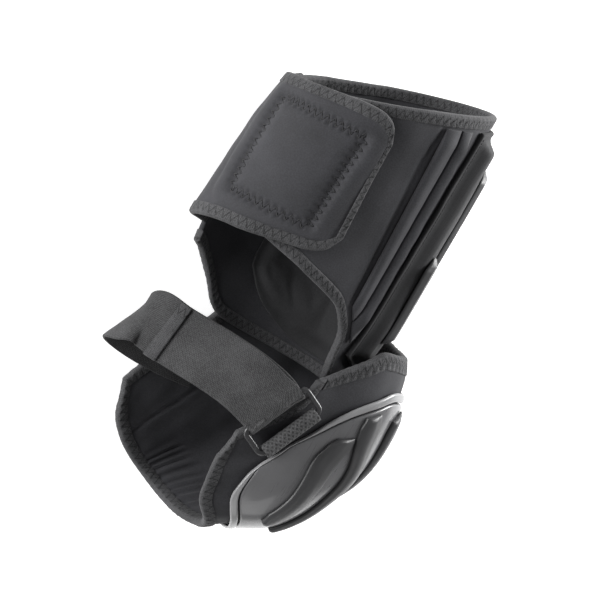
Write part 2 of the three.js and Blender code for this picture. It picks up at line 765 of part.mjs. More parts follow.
const ringBevel = RING_BAR * 0.25;
const ringShape = roundedLoop(
  new THREE.Shape(),
  slotLength + 2 * (RING_BAR - ringBevel),
  RING_SLOT_WIDTH + 2 * (RING_BAR - ringBevel),
  RING_BAR,
);
ringShape.holes.push(roundedLoop(
  new THREE.Path(),
  slotLength + 2 * ringBevel,
  RING_SLOT_WIDTH + 2 * ringBevel,
  RING_BAR * 0.5,
));
const ringGeometry = new THREE.ExtrudeGeometry(ringShape, {
  depth: RING_BAR - 2 * ringBevel,
  bevelThickness: ringBevel,
  bevelSize: ringBevel,
  bevelSegments: 1,
  curveSegments: 2,
});
ringGeometry.translate(0, 0, -RING_BAR / 2 + ringBevel);
const ringMesh = new THREE.Mesh(ringGeometry, ringPlastic);
ringMesh.name = 'slot_ring';
ringMesh.applyMatrix4(new THREE.Matrix4().makeBasis(forearm, pull, forearm.clone().cross(pull)));
ringMesh.position.copy(ringMiddle);
guard.add(ringMesh);

// A place beside the ring: along the pull of the strap, and out of the ring's own plane
const ringOut = forearm.clone().cross(pull).multiplyScalar(Math.sign(forearm.clone().cross(pull).z));
const beside = (along, out) => ringMiddle.clone().addScaledVector(pull, along).addScaledVector(ringOut, out);
const barMiddle = (RING_SLOT_WIDTH + RING_BAR) / 2;
const turnRadius = RING_BAR / 2 + RING_TURN_ROOM + STRAP_THICKNESS / 2;

// The anchor webbing: sewn to the cup, round the rear bar of the ring and back to the cup
const webbingAcross = { across: forearm, width: STRAP_WIDTH };
const rearTurn = spread(-95, 150, 8).map((angle) => ({
  at: beside(
    -barMiddle + turnRadius * Math.cos(angle * DEGREE),
    turnRadius * Math.sin(angle * DEGREE),
  ),
  ...webbingAcross,
}));
const lowerLayer = LAYER_GAP + STRAP_THICKNESS / 2;
const upperLayer = lowerLayer + STRAP_THICKNESS + LAYER_GAP;
const webbingEnd = ringMiddle.clone().addScaledVector(elbowBack, WEBBING_LENGTH);
const webbingAt = (height, back) => ({
  at: new THREE.Vector3(webbingEnd.x, webbingEnd.y, ARM_HEIGHT + CUP_NEAR_SIDE + height)
    .addScaledVector(elbowBack, -back),
  ...webbingAcross,
});
add('anchor_webbing', band([
  webbingAt(lowerLayer, 0),
  webbingAt(lowerLayer, WEBBING_LENGTH * 0.25),
  ...rearTurn,
  webbingAt(upperLayer, 0),
], STRAP_THICKNESS), elastic);

// The strap: from the far rim round the front of the forearm, through the ring and back over itself
const strapRows = [
  { front: 0, drop: 1.25, up: 0 },
  { front: 0.35, drop: 1.25, up: 0 },
  { front: 0.68, drop: 1.18, up: 0.04 },
  { front: 0.89, drop: 1.08, up: 0.15 },
  { front: 0.99, drop: 0.97, up: 0.34 },
  { front: 1, drop: 0.86, up: 0.54 },
  { front: 0.93, drop: 0.7, up: 0.76 },
];
const strapFoot = ARM_HEIGHT - CUP_FAR_SIDE + CUP_WALL + BINDING_PROUD + LAYER_GAP + STRAP_THICKNESS / 2;
const farHalf = strapRows.map((row) => new THREE.Vector3(
  -STRAP_REACH * row.front,
  -STRAP_DROP * row.drop,
  strapFoot + (ARM_HEIGHT - strapFoot) * row.up,
));
const downArm = new THREE.Vector3(0, -1, 0);
const frontBar = beside(barMiddle, 0);
const loopTop = farHalf[farHalf.length - 1];
const climb = frontBar.clone().sub(loopTop);
const swing = climb.dot(forearm) / downArm.dot(forearm);
const outward = climb.clone().cross(downArm).normalize();
outward.multiplyScalar(Math.sign(outward.z));

// The climb from the loop to the ring bows out over the forearm and swings square to the ring.
const climbing = (at, lift) => loopTop.clone()
  .addScaledVector(climb, at)
  .addScaledVector(outward, STRAP_BOW * Math.sin(Math.PI * at) + lift)
  .addScaledVector(downArm, swing * at * at * (1 - at));
const arrival = frontBar.clone().sub(climbing(0.9, 0));
arrival.addScaledVector(forearm, -arrival.dot(forearm)).normalize();
const barOut = arrival.clone().cross(forearm).normalize();
barOut.multiplyScalar(Math.sign(barOut.z));
const frontTurn = spread(-85, 85, 6).map((angle) => frontBar.clone()
  .addScaledVector(arrival, turnRadius * Math.cos(angle * DEGREE))
  .addScaledVector(barOut, turnRadius * Math.sin(angle * DEGREE)));

const layerStep = STRAP_THICKNESS + LAYER_GAP;
const innerLift = (at) => -turnRadius * smooth((at - 0.68) / 0.28);
const outerLift = (at) => layerStep + (turnRadius - layerStep) * smooth((at - 0.55) / 0.4);
const climbShares = [0.17, 0.34, 0.51, 0.68, 0.82, 0.93];
const strapPath = [
  ...farHalf,
  ...climbShares.map((at) => climbing(at, innerLift(at))),
  ...frontTurn,
  ...climbShares.slice().reverse().map((at) => climbing(at, outerLift(at))),
  climbing(STRAP_TAIL_SHARE, layerStep),
];

const strapStation = (at) => ({ at, across: forearm, width: STRAP_WIDTH });
add('strap', band(strapPath.map(strapStation), STRAP_THICKNESS), elastic);

const tabLift = layerStep + STRAP_THICKNESS * 0.75 + LAYER_GAP;
const tabShare = HOOK_TAB_LENGTH / climb.length();
add('strap_end_tab', band(
  [STRAP_TAIL_SHARE, STRAP_TAIL_SHARE + tabShare].map((share) => strapStation(climbing(share, tabLift))),
  STRAP_THICKNESS / 2,
), tape);

// The guard rests on the plane Z = 0, with the middle of its outline over the origin.
const outline = new THREE.Box3().setFromObject(guard);
const middle = outline.getCenter(new THREE.Vector3());
guard.position.set(-middle.x, -middle.y, -outline.min.z);
guard.updateMatrixWorld(true);

export default guard;
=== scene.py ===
"""Looks of a batter's elbow guard that lies on its far side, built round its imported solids.

Lengths are millimetres in the maker's arm frame until a mesh is placed, and metres after that.
X points from the front of the upper arm to its back, Y up the arm, Z from the far side up.
"""

import sys
import json
import logging
import math
from dataclasses import dataclass
from enum import Enum
from typing import Callable, Sequence

import bpy
import numpy as np
from mathutils import Matrix, Vector

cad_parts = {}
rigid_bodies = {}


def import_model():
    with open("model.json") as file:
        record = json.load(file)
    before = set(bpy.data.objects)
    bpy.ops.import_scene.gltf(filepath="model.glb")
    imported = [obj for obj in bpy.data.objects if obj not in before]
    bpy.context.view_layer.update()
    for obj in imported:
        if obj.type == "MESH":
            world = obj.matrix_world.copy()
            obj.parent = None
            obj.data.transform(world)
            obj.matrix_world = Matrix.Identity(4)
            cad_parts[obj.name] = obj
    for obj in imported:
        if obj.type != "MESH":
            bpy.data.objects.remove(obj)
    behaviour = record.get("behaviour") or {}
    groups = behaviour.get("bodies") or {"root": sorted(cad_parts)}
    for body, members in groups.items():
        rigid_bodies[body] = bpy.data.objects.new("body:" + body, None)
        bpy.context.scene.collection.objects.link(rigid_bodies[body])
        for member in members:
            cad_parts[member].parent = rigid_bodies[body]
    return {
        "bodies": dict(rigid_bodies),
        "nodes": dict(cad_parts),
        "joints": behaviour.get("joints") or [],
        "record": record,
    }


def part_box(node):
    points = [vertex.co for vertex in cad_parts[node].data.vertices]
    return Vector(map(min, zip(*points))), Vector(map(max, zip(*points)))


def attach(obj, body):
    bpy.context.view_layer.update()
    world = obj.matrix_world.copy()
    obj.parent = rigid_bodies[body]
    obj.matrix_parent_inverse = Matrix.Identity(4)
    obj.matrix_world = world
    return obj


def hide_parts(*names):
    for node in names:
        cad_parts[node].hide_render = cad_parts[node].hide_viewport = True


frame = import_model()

Array = np.ndarray
Place = tuple[Array, Array]
MM = 0.001
BODY = "root"
log = logging.getLogger("elbow_guard")


# Curved sheets


@dataclass(frozen=True)
class Table:
    """Named columns of shares, read smoothly at any value of the key column.

    Attributes:
        keys: Rising values of the key column.
        columns: Each named column, as long as keys.
    """

    keys: tuple[float, ...]
    columns: dict[str, tuple[float, ...]]

    def read(self, column: str, at: Array) -> Array:
        """Reads one column.

        Args:
            column: The column's name.
            at: Values of the key column.

        Returns:
            The column's smooth value at each of them.
        """
        keys = np.asarray(self.keys)
        values = np.asarray(self.columns[column])
        at = np.clip(at, keys[0], keys[-1])
        low = np.clip(np.searchsorted(keys, at) - 1, 0, len(keys) - 2)
        before = np.maximum(low - 1, 0)
        after = np.minimum(low + 2, len(keys) - 1)
        span = keys[low + 1] - keys[low]
        leaving = (values[low + 1] - values[before]) / (keys[low + 1] - keys[before]) * span
        arriving = (values[after] - values[low]) / (keys[after] - keys[low]) * span
        u = (at - keys[low]) / span
        return (
            (2 * u**3 - 3 * u**2 + 1) * values[low]
            + (u**3 - 2 * u**2 + u) * leaving
            + (3 * u**2 - 2 * u**3) * values[low + 1]
            + (u**3 - u**2) * arriving
        )


def smooth(u: Array) -> Array:
    """Eases from 0 to 1 as u does.

    Args:
        u: Any values.

    Returns:
        The eased values, held at 0 and 1 outside.
    """
    v = np.clip(u, 0.0, 1.0)
    return v * v * (3 - 2 * v)


class Face:
    """A curved sheet whose points have a turn in degrees and a run in millimetres."""

    outward = 1.0

    def at(self, turn: Array, run: Array) -> Array:
        """Gives points of the sheet.

        Args:
            turn: Turns round the limb.
            run: Runs along it.

        Returns:
            The points, with x, y and z in the last axis.
        """
        raise NotImplementedError

    def lifted(self, turn: Array, run: Array, height: Array) -> Array:
        """Gives points at a height over the sheet, flattened where the guard lies.

        Args:
            turn: Turns round the limb.
            run: Runs along it.
            height: Heights over the sheet.

        Returns:
            The points.
        """
        step = 0.5
        across = self.at(turn + step, run) - self.at(turn - step, run)
        along = self.at(turn, run + step) - self.at(turn, run - step)
        normal = np.cross(across, along) * self.outward
        normal = normal / np.linalg.norm(normal, axis=-1, keepdims=True)
        point = self.at(turn, run) + normal * height[..., None]
        point[..., 2] = np.maximum(point[..., 2], np.maximum(0.0, -height))
        return point


@dataclass(frozen=True)
class ArmSizes:
    """Sizes that place the two sheets of the guard.

    Attributes:
        height: Height of the arm's axis over the table.
        elbow_back: How far the elbow lies behind the arm's axis.
        elbow_drop: How far the elbow lies under the cuff's foot.
        bend: Turn of the forearm, in degrees.
        cuff_height: Height of the cuff.
        cuff_front: Depth of the cuff to the front.
        cuff_back: Depth of the cuff to the back.
        cuff_side: Depth of the cuff to a side.
        cup_length: Length of the cup along the forearm.
        cup_back: How far the cup stands behind the elbow's line.
        cup_depth: Depth of the cup's round back.
        cup_near: Height of the cup's near wall over the axis.
        shell_lift: Clearance under the hard shell.
        shell_wall: Thickness of the hard shell.
    """

    height: float = 50
    elbow_back: float = 62.6
    elbow_drop: float = 39
    bend: float = 28
    cuff_height: float = 160
    cuff_front: float = 67
    cuff_back: float = 62
    cuff_side: float = 50
    cup_length: float = 100
    cup_back: float = 40.5
    cup_depth: float = 51
    cup_near: float = 51
    shell_lift: float = 1
    shell_wall: float = 2.9

    @property
    def cup_far(self) -> float:
        """Depth of the cup's far wall, so that the shell lies on the table."""
        return self.height - self.shell_lift - self.shell_wall

    @property
    def forearm(self) -> Array:
        """Direction of the forearm, away from the elbow."""
        turn = math.radians(self.bend)
        return np.array([-math.sin(turn), -math.cos(turn), 0.0])

    @property
    def back(self) -> Array:
        """Direction from the forearm to the back of the elbow."""
        turn = math.radians(self.bend)
        return np.array([math.cos(turn), -math.sin(turn), 0.0])


class CuffFace(Face):
    """The outer face of the cuff: an oval round the upper arm."""

    outward = -1.0
    rows = Table(
        (-0.125, 0.05, 0.225, 0.375, 0.69, 1.0, 1.19),
        {
            "front": (0.985, 1.03, 1.045, 1.03, 0.96, 0.82, 0.761),
            "back": (0.968, 0.984, 1.0, 1.0, 1.0, 0.99, 0.985),
            "near": (0.89, 0.9, 0.98, 1.0, 1.0, 1.0, 1.0),
            "far": (0.81, 0.82, 1.02, 1.07, 1.07, 1.06, 1.06),
        },
    )

    def __init__(self, arm: ArmSizes) -> None:
        """Keeps the arm's sizes.

        Args:
            arm: The sizes that place the sheet.
        """
        self.arm = arm

    def at(self, turn: Array, run: Array) -> Array:
        """Gives points of the cuff's outer face.

        Args:
            turn: Turns round the limb, in degrees.
            run: Runs along it, in millimetres.

        Returns:
            The points.
        """
        share = run / self.arm.cuff_height
        c = np.cos(np.radians(turn))
        s = np.sin(np.radians(turn))
        back = self.arm.cuff_back * self.rows.read("back", share)
        front = self.arm.cuff_front * self.rows.read("front", share)
        near = self.rows.read("near", share)
        far = self.rows.read("far", share)
        side = self.arm.cuff_side * np.where(s >= 0, near, far)
        return np.stack(
            [np.where(c >= 0, back, front) * c, run + 0 * c, self.arm.height + side * s],
            axis=-1,
        )


class CupFace(Face):
    """The outer face of the cup: a round back with straight side walls along the forearm."""

    rows = Table(
        (-0.8, -0.7, -0.59, -0.33, 0.0, 0.26, 0.44, 0.58, 0.75, 0.9, 1.04),
        {
            "back": (-0.512, -0.116, 0.279, 0.744, 1.0, 0.977, 0.907, 0.767, 0.442, 0.186, 0.0),
            "depth": (1.725, 1.667, 1.51, 1.216, 1.0, 0.941, 0.902, 0.843, 0.725, 0.627, 0.569),
            "near": (1.0, 1.0, 1.0, 1.0, 1.0, 1.0, 0.98, 0.941, 0.863, 0.784, 0.725),
            "far": (1.0, 1.0, 1.0, 1.0, 1.0, 1.0, 1.0, 1.0, 0.968, 0.894, 0.83),
        },
    )

    def __init__(self, arm: ArmSizes) -> None:
        """Keeps the arm's sizes.

        Args:
            arm: The sizes that place the sheet.
        """
        self.arm = arm
        self.elbow = np.array([arm.elbow_back, -arm.elbow_drop, arm.height])

    def at(self, turn: Array, run: Array) -> Array:
        """Gives points of the cup's outer face.

        Args:
            turn: Turns round the limb, in degrees.
            run: Runs along it, in millimetres.

        Returns:
            The points.
        """
        arm = self.arm
        share = run / arm.cup_length
        depth = arm.cup_depth * self.rows.read("depth", share)
        middle = arm.cup_back * self.rows.read("back", share) - depth
        near = arm.cup_near * self.rows.read("near", share)
        far = arm.cup_far * self.rows.read("far", share)
        side = np.where(turn >= 0, near, far)
        past = np.radians(np.maximum(0.0, np.abs(turn) - 90))
        bend = np.radians(np.minimum(90.0, np.abs(turn)))
        out = middle + depth * np.cos(bend) - depth * past
        point = (
            self.elbow
            + arm.forearm * (run + 0 * turn)[..., None]
            + arm.back * out[..., None]
        )
        point[..., 2] += np.sign(turn) * side * np.sin(bend)
        return point


class Edge:
    """A smooth edge through rows of turn and share."""

    def __init__(self, rows: Sequence[tuple[float, float]], length: float) -> None:
        """Draws the edge.

        Args:
            rows: Pairs of a turn and a share of the length.
            length: The named length that the shares belong to.
        """
        points = np.array([(turn, share * length) for turn, share in rows])
        self.line = curve_through(points, 400)
        steps = np.linalg.norm(np.diff(self.line, axis=0), axis=1)
        self.shares = np.concatenate([[0.0], np.cumsum(steps)]) / steps.sum()

    def __call__(self, at: Array) -> Place:
        """Gives the places at shares of the edge's length.

        Args:
            at: Shares from 0 to 1.

        Returns:
            Their turns and their runs.
        """
        turn = np.interp(at, self.shares, self.line[:, 0])
        return turn, np.interp(at, self.shares, self.line[:, 1])


def curve_through(points: Array, count: int) -> Array:
    """Draws a smooth curve through points.

    Args:
        points: The points, one a row.
        count: How many pieces the curve is cut into.

    Returns:
        The curve's count + 1 points.
    """
    at = np.linspace(0, len(points) - 1, count + 1)
    low = np.minimum(at.astype(int), len(points) - 2)
    u = (at - low)[:, None]
    before = points[np.maximum(low - 1, 0)]
    start = points[low]
    end = points[low + 1]
    after = points[np.minimum(low + 2, len(points) - 1)]
    leaving = (end - before) / 2
    arriving = (after - start) / 2
    return (
        (2 * start - 2 * end + leaving + arriving) * u**3
        + (-3 * start + 3 * end - 2 * leaving - arriving) * u**2
        + leaving * u
        + start
    )


class Patch:
    """A piece of a face between a first and a second edge."""

    closed = False

    def __init__(
        self, face: Face, first: Callable[[Array], Place], second: Callable[[Array], Place]
    ) -> None:
        """Keeps the face and its edges.

        Args:
            face: The face that the patch is cut from.
            first: Gives a place on the first edge for each share across.
            second: The same for the second edge.
        """
        self.face = face
        self.first = first
        self.second = second

    def place(self, u: Array, v: Array) -> Place:
        """Gives places on the patch.

        Args:
            u: Shares across.
            v: Shares down.

        Returns:
            Their turns and their runs.
        """
        turn, run = self.first(u)
        far_turn, far_run = self.second(u)
        return turn + (far_turn - turn) * v, run + (far_run - run) * v

    def at(self, u: Array, v: Array, height: Array) -> Array:
        """Gives the points at shares across and down and at heights."""
        turn, run = self.place(u, v)
        return self.face.lifted(turn, run, height)

    def measure(self, start: tuple[Array, Array], end: tuple[Array, Array]) -> Array:
        """Measures lines over the patch.

        Args:
            start: Shares across and down where the lines start.
            end: Shares where they end.

        Returns:
            Their lengths in millimetres.
        """
        t = np.linspace(0, 1, 25)[:, None]
        u = start[0] + (end[0] - start[0]) * t
        v = start[1] + (end[1] - start[1]) * t
        points = self.at(u, v, 0 * (u + v))
        return np.linalg.norm(np.diff(points, axis=0), axis=-1).sum(axis=0)

    def tall(self, u: Array) -> Array:
        """Gives the patch's height at each share across."""
        u = np.atleast_1d(np.asarray(u, float))
        return self.measure((u, 0 * u), (u, 0 * u + 1))

    def wide(self) -> float:
        """Gives the patch's width across its middle."""
        path = self.at(np.linspace(0, 1, 300), np.full(300, 0.5), np.zeros(300))
        return float(np.linalg.norm(np.diff(path, axis=0), axis=1).sum())


class Trimmed(Patch):
    """A patch cut back by widths in millimetres along its borders."""

    def __init__(
        self,
        patch: Patch,
        first: "float | Callable[[Array], Array]" = 0,
        last: float = 0,
        left: float = 0,
        right: float = 0,
    ) -> None:
        """Keeps the patch and what is cut off it.

        Args:
            patch: The whole patch.
            first: Width cut off along the first edge, or a function of the share across.
            last: Width cut off along the second edge.
            left: Width cut off where u is 0.
            right: Width cut off where u is 1.
        """
        super().__init__(patch.face, patch.first, patch.second)
        self.patch = patch
        wide = patch.wide()
        self.start = left / wide
        self.end = 1 - right / wide
        self.shares = np.linspace(0, 1, 65)
        self.talls = patch.tall(self.shares)
        self.cut = (first, last)

    def place(self, u: Array, v: Array) -> Place:
        """Gives places inside the cut.

        Args:
            u: Shares across.
            v: Shares down.

        Returns:
            Their turns and their runs.
        """
        u = self.start + (self.end - self.start) * u
        tall = np.interp(u, self.shares, self.talls)
        first = self.cut[0](u) if callable(self.cut[0]) else self.cut[0]
        first = first / tall
        last = 1 - self.cut[1] / tall
        return self.patch.place(u, first + (last - first) * v)


class Strip(Patch):
    """A strip of tape along a line: v runs from its outer edge (0) to its inner edge (1)."""

    def __init__(self, patch: Patch, edge: Array, inner: Array, closed: bool = False) -> None:
        """Keeps the stations of the strip.

        Args:
            patch: The patch that the tape is sewn to.
            edge: Shares across and down of the outer edge, one station a row.
            inner: The same for the inner edge.
            closed: Whether the strip is a ring.
        """
        super().__init__(patch.face, patch.first, patch.second)
        self.closed = closed
        self.outer_line = np.stack(patch.place(edge[:, 0], edge[:, 1]), axis=-1)
        self.inner_line = np.stack(patch.place(inner[:, 0], inner[:, 1]), axis=-1)
        if closed:
            self.outer_line = np.vstack([self.outer_line, self.outer_line[:1]])
            self.inner_line = np.vstack([self.inner_line, self.inner_line[:1]])
        middle = (self.outer_line + self.inner_line) / 2
        points = self.face.lifted(middle[:, 0], middle[:, 1], 0 * middle[:, 0])
        steps = np.maximum(np.linalg.norm(np.diff(points, axis=0), axis=1), 1e-6)
        self.shares = np.concatenate([[0.0], np.cumsum(steps)]) / steps.sum()

    def place(self, u: Array, v: Array) -> Place:
        """Gives places on the strip.

        Args:
            u: Shares along the strip.
            v: Shares from its outer edge to its inner edge.

        Returns:
            Their turns and their runs.
        """
        out = [np.interp(u, self.shares, self.outer_line[:, i]) for i in (0, 1)]
        inn = [np.interp(u, self.shares, self.inner_line[:, i]) for i in (0, 1)]
        return out[0] + (inn[0] - out[0]) * v, out[1] + (inn[1] - out[1]) * v


class Ribbon(Patch):
    """A flat band along a path of its own: u runs along it and v across it."""

    def __init__(self, points: Array, across: Array, width: float, count: int = 600) -> None:
        """Lays the band.

        Args:
            points: The points that its middle line passes through.
            across: The direction that its width is laid along.
            width: Its width.
            count: How many pieces the path is cut into.
        """
        self.line = curve_through(points, count)
        steps = np.linalg.norm(np.diff(self.line, axis=0), axis=1)
        self.length = float(steps.sum())
        self.width = width
        self.shares = np.concatenate([[0.0], np.cumsum(steps)]) / self.length
        tangent = np.gradient(self.line, axis=0)
        tangent /= np.linalg.norm(tangent, axis=1, keepdims=True)
        side = across - tangent * (tangent @ across)[:, None]
        self.side = side / np.linalg.norm(side, axis=1, keepdims=True)
        self.up = np.cross(tangent, self.side)

    def place(self, u: Array, v: Array) -> Place:
        """Gives millimetres along and across the band."""
        return u * self.length, v * self.width

    def tall(self, u: Array) -> Array:
        """Gives the band's width at each share along it."""
        return 0 * np.asarray(u) + self.width

    def wide(self) -> float:
        """Gives the band's length."""
        return self.length

    def at(self, u: Array, v: Array, height: Array) -> Array:
        """Gives points of the band.

        Args:
            u: Shares along the band.
            v: Shares across it.
            height: Heights over its middle sheet.

        Returns:
            The points.
        """
        read = [
            np.stack([np.interp(u, self.shares, rows[:, i]) for i in range(3)], axis=-1)
            for rows in (self.line, self.side, self.up)
        ]
        return read[0] + read[1] * ((v - 0.5) * self.width)[..., None] + read[2] * height[..., None]


class Sheet(Patch):
    """A whole face, whose places are turns and runs."""

    def __init__(self, face: Face) -> None:
        """Keeps the face."""
        self.face = face

    def place(self, u: Array, v: Array) -> Place:
        """Gives the turn and the run as they are."""
        return u, v

    def wide(self) -> float:
        """Gives 1, since places aren't shares here."""
        return 1.0


# Meshes


@dataclass(frozen=True)
class Spot:
    """Where the points of a body lie on its patch.

    Attributes:
        u: Shares across.
        v: Shares down.
        turn: Turns, or millimetres along a ribbon.
        run: Runs, or millimetres across a ribbon.
        side: Distances from the nearer end across.
        end: Distances from the nearer edge.
        length: The patch's width across, in millimetres.
    """

    u: Array
    v: Array
    turn: Array
    run: Array
    side: Array
    end: Array
    length: float


Height = Callable[[Spot], Array]


@dataclass(frozen=True)
class Rims:
    """Radii that round the four borders of a body; 0 leaves a border open.

    Attributes:
        left: Radius where u is 0.
        right: Radius where u is 1.
        first: Radius where v is 0.
        last: Radius where v is 1.
    """

    left: float = 1.2
    right: float = 1.2
    first: float = 1.2
    last: float = 1.2

    @classmethod
    def even(cls, radius: float) -> "Rims":
        """Gives all four borders the same radius."""
        return cls(radius, radius, radius, radius)


def level(height: float) -> Height:
    """Makes a height that is the same everywhere.

    Args:
        height: The height in millimetres.

    Returns:
        The height as a function of the spot.
    """
    return lambda spot: 0 * spot.u + height


def spacing(count: int, length: float, start: float, end: float) -> Array:
    """Spaces the columns of a grid, closer where a border is rounded.

    Args:
        count: How many cells there are.
        length: The whole length.
        start: Radius of the first border.
        end: Radius of the last border.

    Returns:
        The count + 1 shares from 0 to 1.
    """
    cells = 4
    arc = 1 - np.cos(np.linspace(0, math.pi / 2, cells + 1))
    head = start * arc / length if start > 0 else np.zeros(1)
    tail = (1 - end * arc / length)[::-1] if end > 0 else np.ones(1)
    middle = np.linspace(head[-1], tail[0], count + 3 - len(head) - len(tail))
    return np.concatenate([head[:-1], middle, tail[1:]])


def rounding(distance: Array, radius: float) -> Array:
    """Gives the share of a body's thickness near a rounded border.

    Args:
        distance: Distances from the border.
        radius: The border's radius, or 0 for an open border.

    Returns:
        Shares from 0 at the border to 1.
    """
    if radius <= 0:
        return 0 * distance + 1
    return np.sqrt(np.clip(1 - (1 - np.clip(distance / radius, 0, 1)) ** 2, 0, 1))


def pick(body: bpy.types.Object) -> None:
    """Selects one object alone and makes it the active one.

    Args:
        body: The object.
    """
    bpy.ops.object.select_all(action="DESELECT")
    body.select_set(True)
    bpy.context.view_layer.objects.active = body


def points_of(mesh: bpy.types.Mesh) -> Array:
    """Reads a mesh's points.

    Args:
        mesh: The mesh.

    Returns:
        Its points, one a row.
    """
    points = np.zeros(len(mesh.vertices) * 3)
    mesh.vertices.foreach_get("co", points)
    return points.reshape(-1, 3)


class Bench:
    """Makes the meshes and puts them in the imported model's place."""

    def __init__(self, shift: Array) -> None:
        """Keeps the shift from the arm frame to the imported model.

        Args:
            shift: The shift in millimetres.
        """
        self.shift = shift

    @staticmethod
    def copied_stitch(name: str, count: int) -> tuple[bpy.types.Object, Array]:
        """Models one stitch, one long and one thick, and copies it in its place.

        Args:
            name: The name of the row of stitches.
            count: How many stitches it has.

        Returns:
            The row, and the points of one stitch along the first axis.
        """
        bpy.ops.object.select_all(action="DESELECT")
        bpy.ops.mesh.primitive_uv_sphere_add(segments=6, ring_count=5, radius=0.5, calc_uvs=False)
        row = bpy.context.object
        row.name = row.data.name = name
        shape = points_of(row.data)[:, [2, 0, 1]]
        bpy.ops.object.mode_set(mode="EDIT")
        for _ in range(math.ceil(math.log2(count))):
            bpy.ops.mesh.select_all(action="SELECT")
            bpy.ops.mesh.duplicate()
        bpy.ops.mesh.select_all(action="DESELECT")
        bpy.ops.object.mode_set(mode="OBJECT")
        spare = np.arange(len(row.data.vertices)) >= count * len(shape)
        if spare.any():
            row.data.vertices.foreach_set("select", spare)
            bpy.ops.object.mode_set(mode="EDIT")
            bpy.ops.mesh.delete(type="VERT")
            bpy.ops.object.mode_set(mode="OBJECT")
        return row, shape

    def metres(self, points: Array) -> Array:
        """Puts points of the arm frame, in millimetres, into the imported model, in metres."""
        return (points + self.shift) * MM

    def cushion(
        self,
        name: str,
        patch: Patch,
        inner: Height,
        outer: Height,
        cell: float = 2.0,
        rims: Rims = Rims(),
        sewn: float = 0.0,
    ) -> bpy.types.Object:
        """Models a closed body over a patch from a grid and its copy.

        Args:
            name: The piece's name.
            patch: The patch that it covers.
            inner: Heights of its inner side.
            outer: Heights of its outer side.
            cell: Rough size of a grid cell, in millimetres.
            rims: Radii of its borders.
            sewn: Width of the border that a simulation leaves alone, or 0 for none.

        Returns:
            The body, with its UV map in millimetres.
        """
        wide = patch.wide()
        tall = float(patch.tall(np.linspace(0.1, 0.9, 9)).mean())
        bpy.ops.object.select_all(action="DESELECT")
        bpy.ops.mesh.primitive_grid_add(
            x_subdivisions=max(10, round(wide / cell)),
            y_subdivisions=max(9, round(tall / cell)),
            size=2,
        )
        body = bpy.context.object
        body.name = body.data.name = name
        bpy.ops.object.mode_set(mode="EDIT")
        bpy.ops.mesh.select_all(action="SELECT")
        bpy.ops.mesh.duplicate()
        bpy.ops.transform.translate(value=(0, 0, 1))
        bpy.ops.object.mode_set(mode="OBJECT")

        mesh = body.data
        raw = points_of(mesh)
        columns, i = np.unique(raw[:, 0].round(5), return_inverse=True)
        rows, j = np.unique(raw[:, 1].round(5), return_inverse=True)
        u = spacing(len(columns) - 1, wide, rims.left, rims.right)[i]
        v = spacing(len(rows) - 1, tall, rims.first, rims.last)[j]
        turn, run = patch.place(u, v)
        spot = Spot(u, v, turn, run, np.minimum(u, 1 - u) * wide, np.minimum(v, 1 - v) * tall, wide)
        fullness = rounding(u * wide, rims.left) * rounding((1 - u) * wide, rims.right)
        fullness *= rounding(v * tall, rims.first) * rounding((1 - v) * tall, rims.last)
        low, high = inner(spot), outer(spot)
        side = np.where(raw[:, 2] > 0.5, 0.5, -0.5)
        points = patch.at(u, v, (low + high) / 2 + side * (high - low) * fullness)
        mesh.vertices.foreach_set("co", self.metres(points).ravel())

        corners = np.zeros(len(mesh.loops), int)
        mesh.loops.foreach_get("vertex_index", corners)
        layer = mesh.uv_layers.active
        layer.name = "mm"
        layer.data.foreach_set("uv", np.stack([u * wide, v * tall], axis=-1)[corners].ravel())
        if sewn > 0:
            held = (raw[:, 2] < 0.5) | (np.minimum(spot.side, spot.end) < sewn)
            body.vertex_groups.new(name="sewn").add(np.flatnonzero(held).tolist(), 1.0, "REPLACE")
        mesh.update()
        self.close(body)
        return body

    @staticmethod
    def close(body: bpy.types.Object) -> None:
        """Merges a body's doubles and turns its faces outwards.

        Args:
            body: A body whose borders meet.
        """
        pick(body)
        bpy.ops.object.mode_set(mode="EDIT")
        bpy.ops.mesh.select_all(action="SELECT")
        bpy.ops.mesh.remove_doubles(threshold=2e-6)
        bpy.ops.mesh.normals_make_consistent(inside=False)
        bpy.ops.object.mode_set(mode="OBJECT")
        bpy.ops.object.shade_smooth()

    @staticmethod
    def crease(body: bpy.types.Object) -> None:
        """Shades a moulded body flat across its bevels.

        Args:
            body: A body with bevelled edges.
        """
        pick(body)
        bpy.ops.object.shade_smooth_by_angle(angle=math.radians(24))

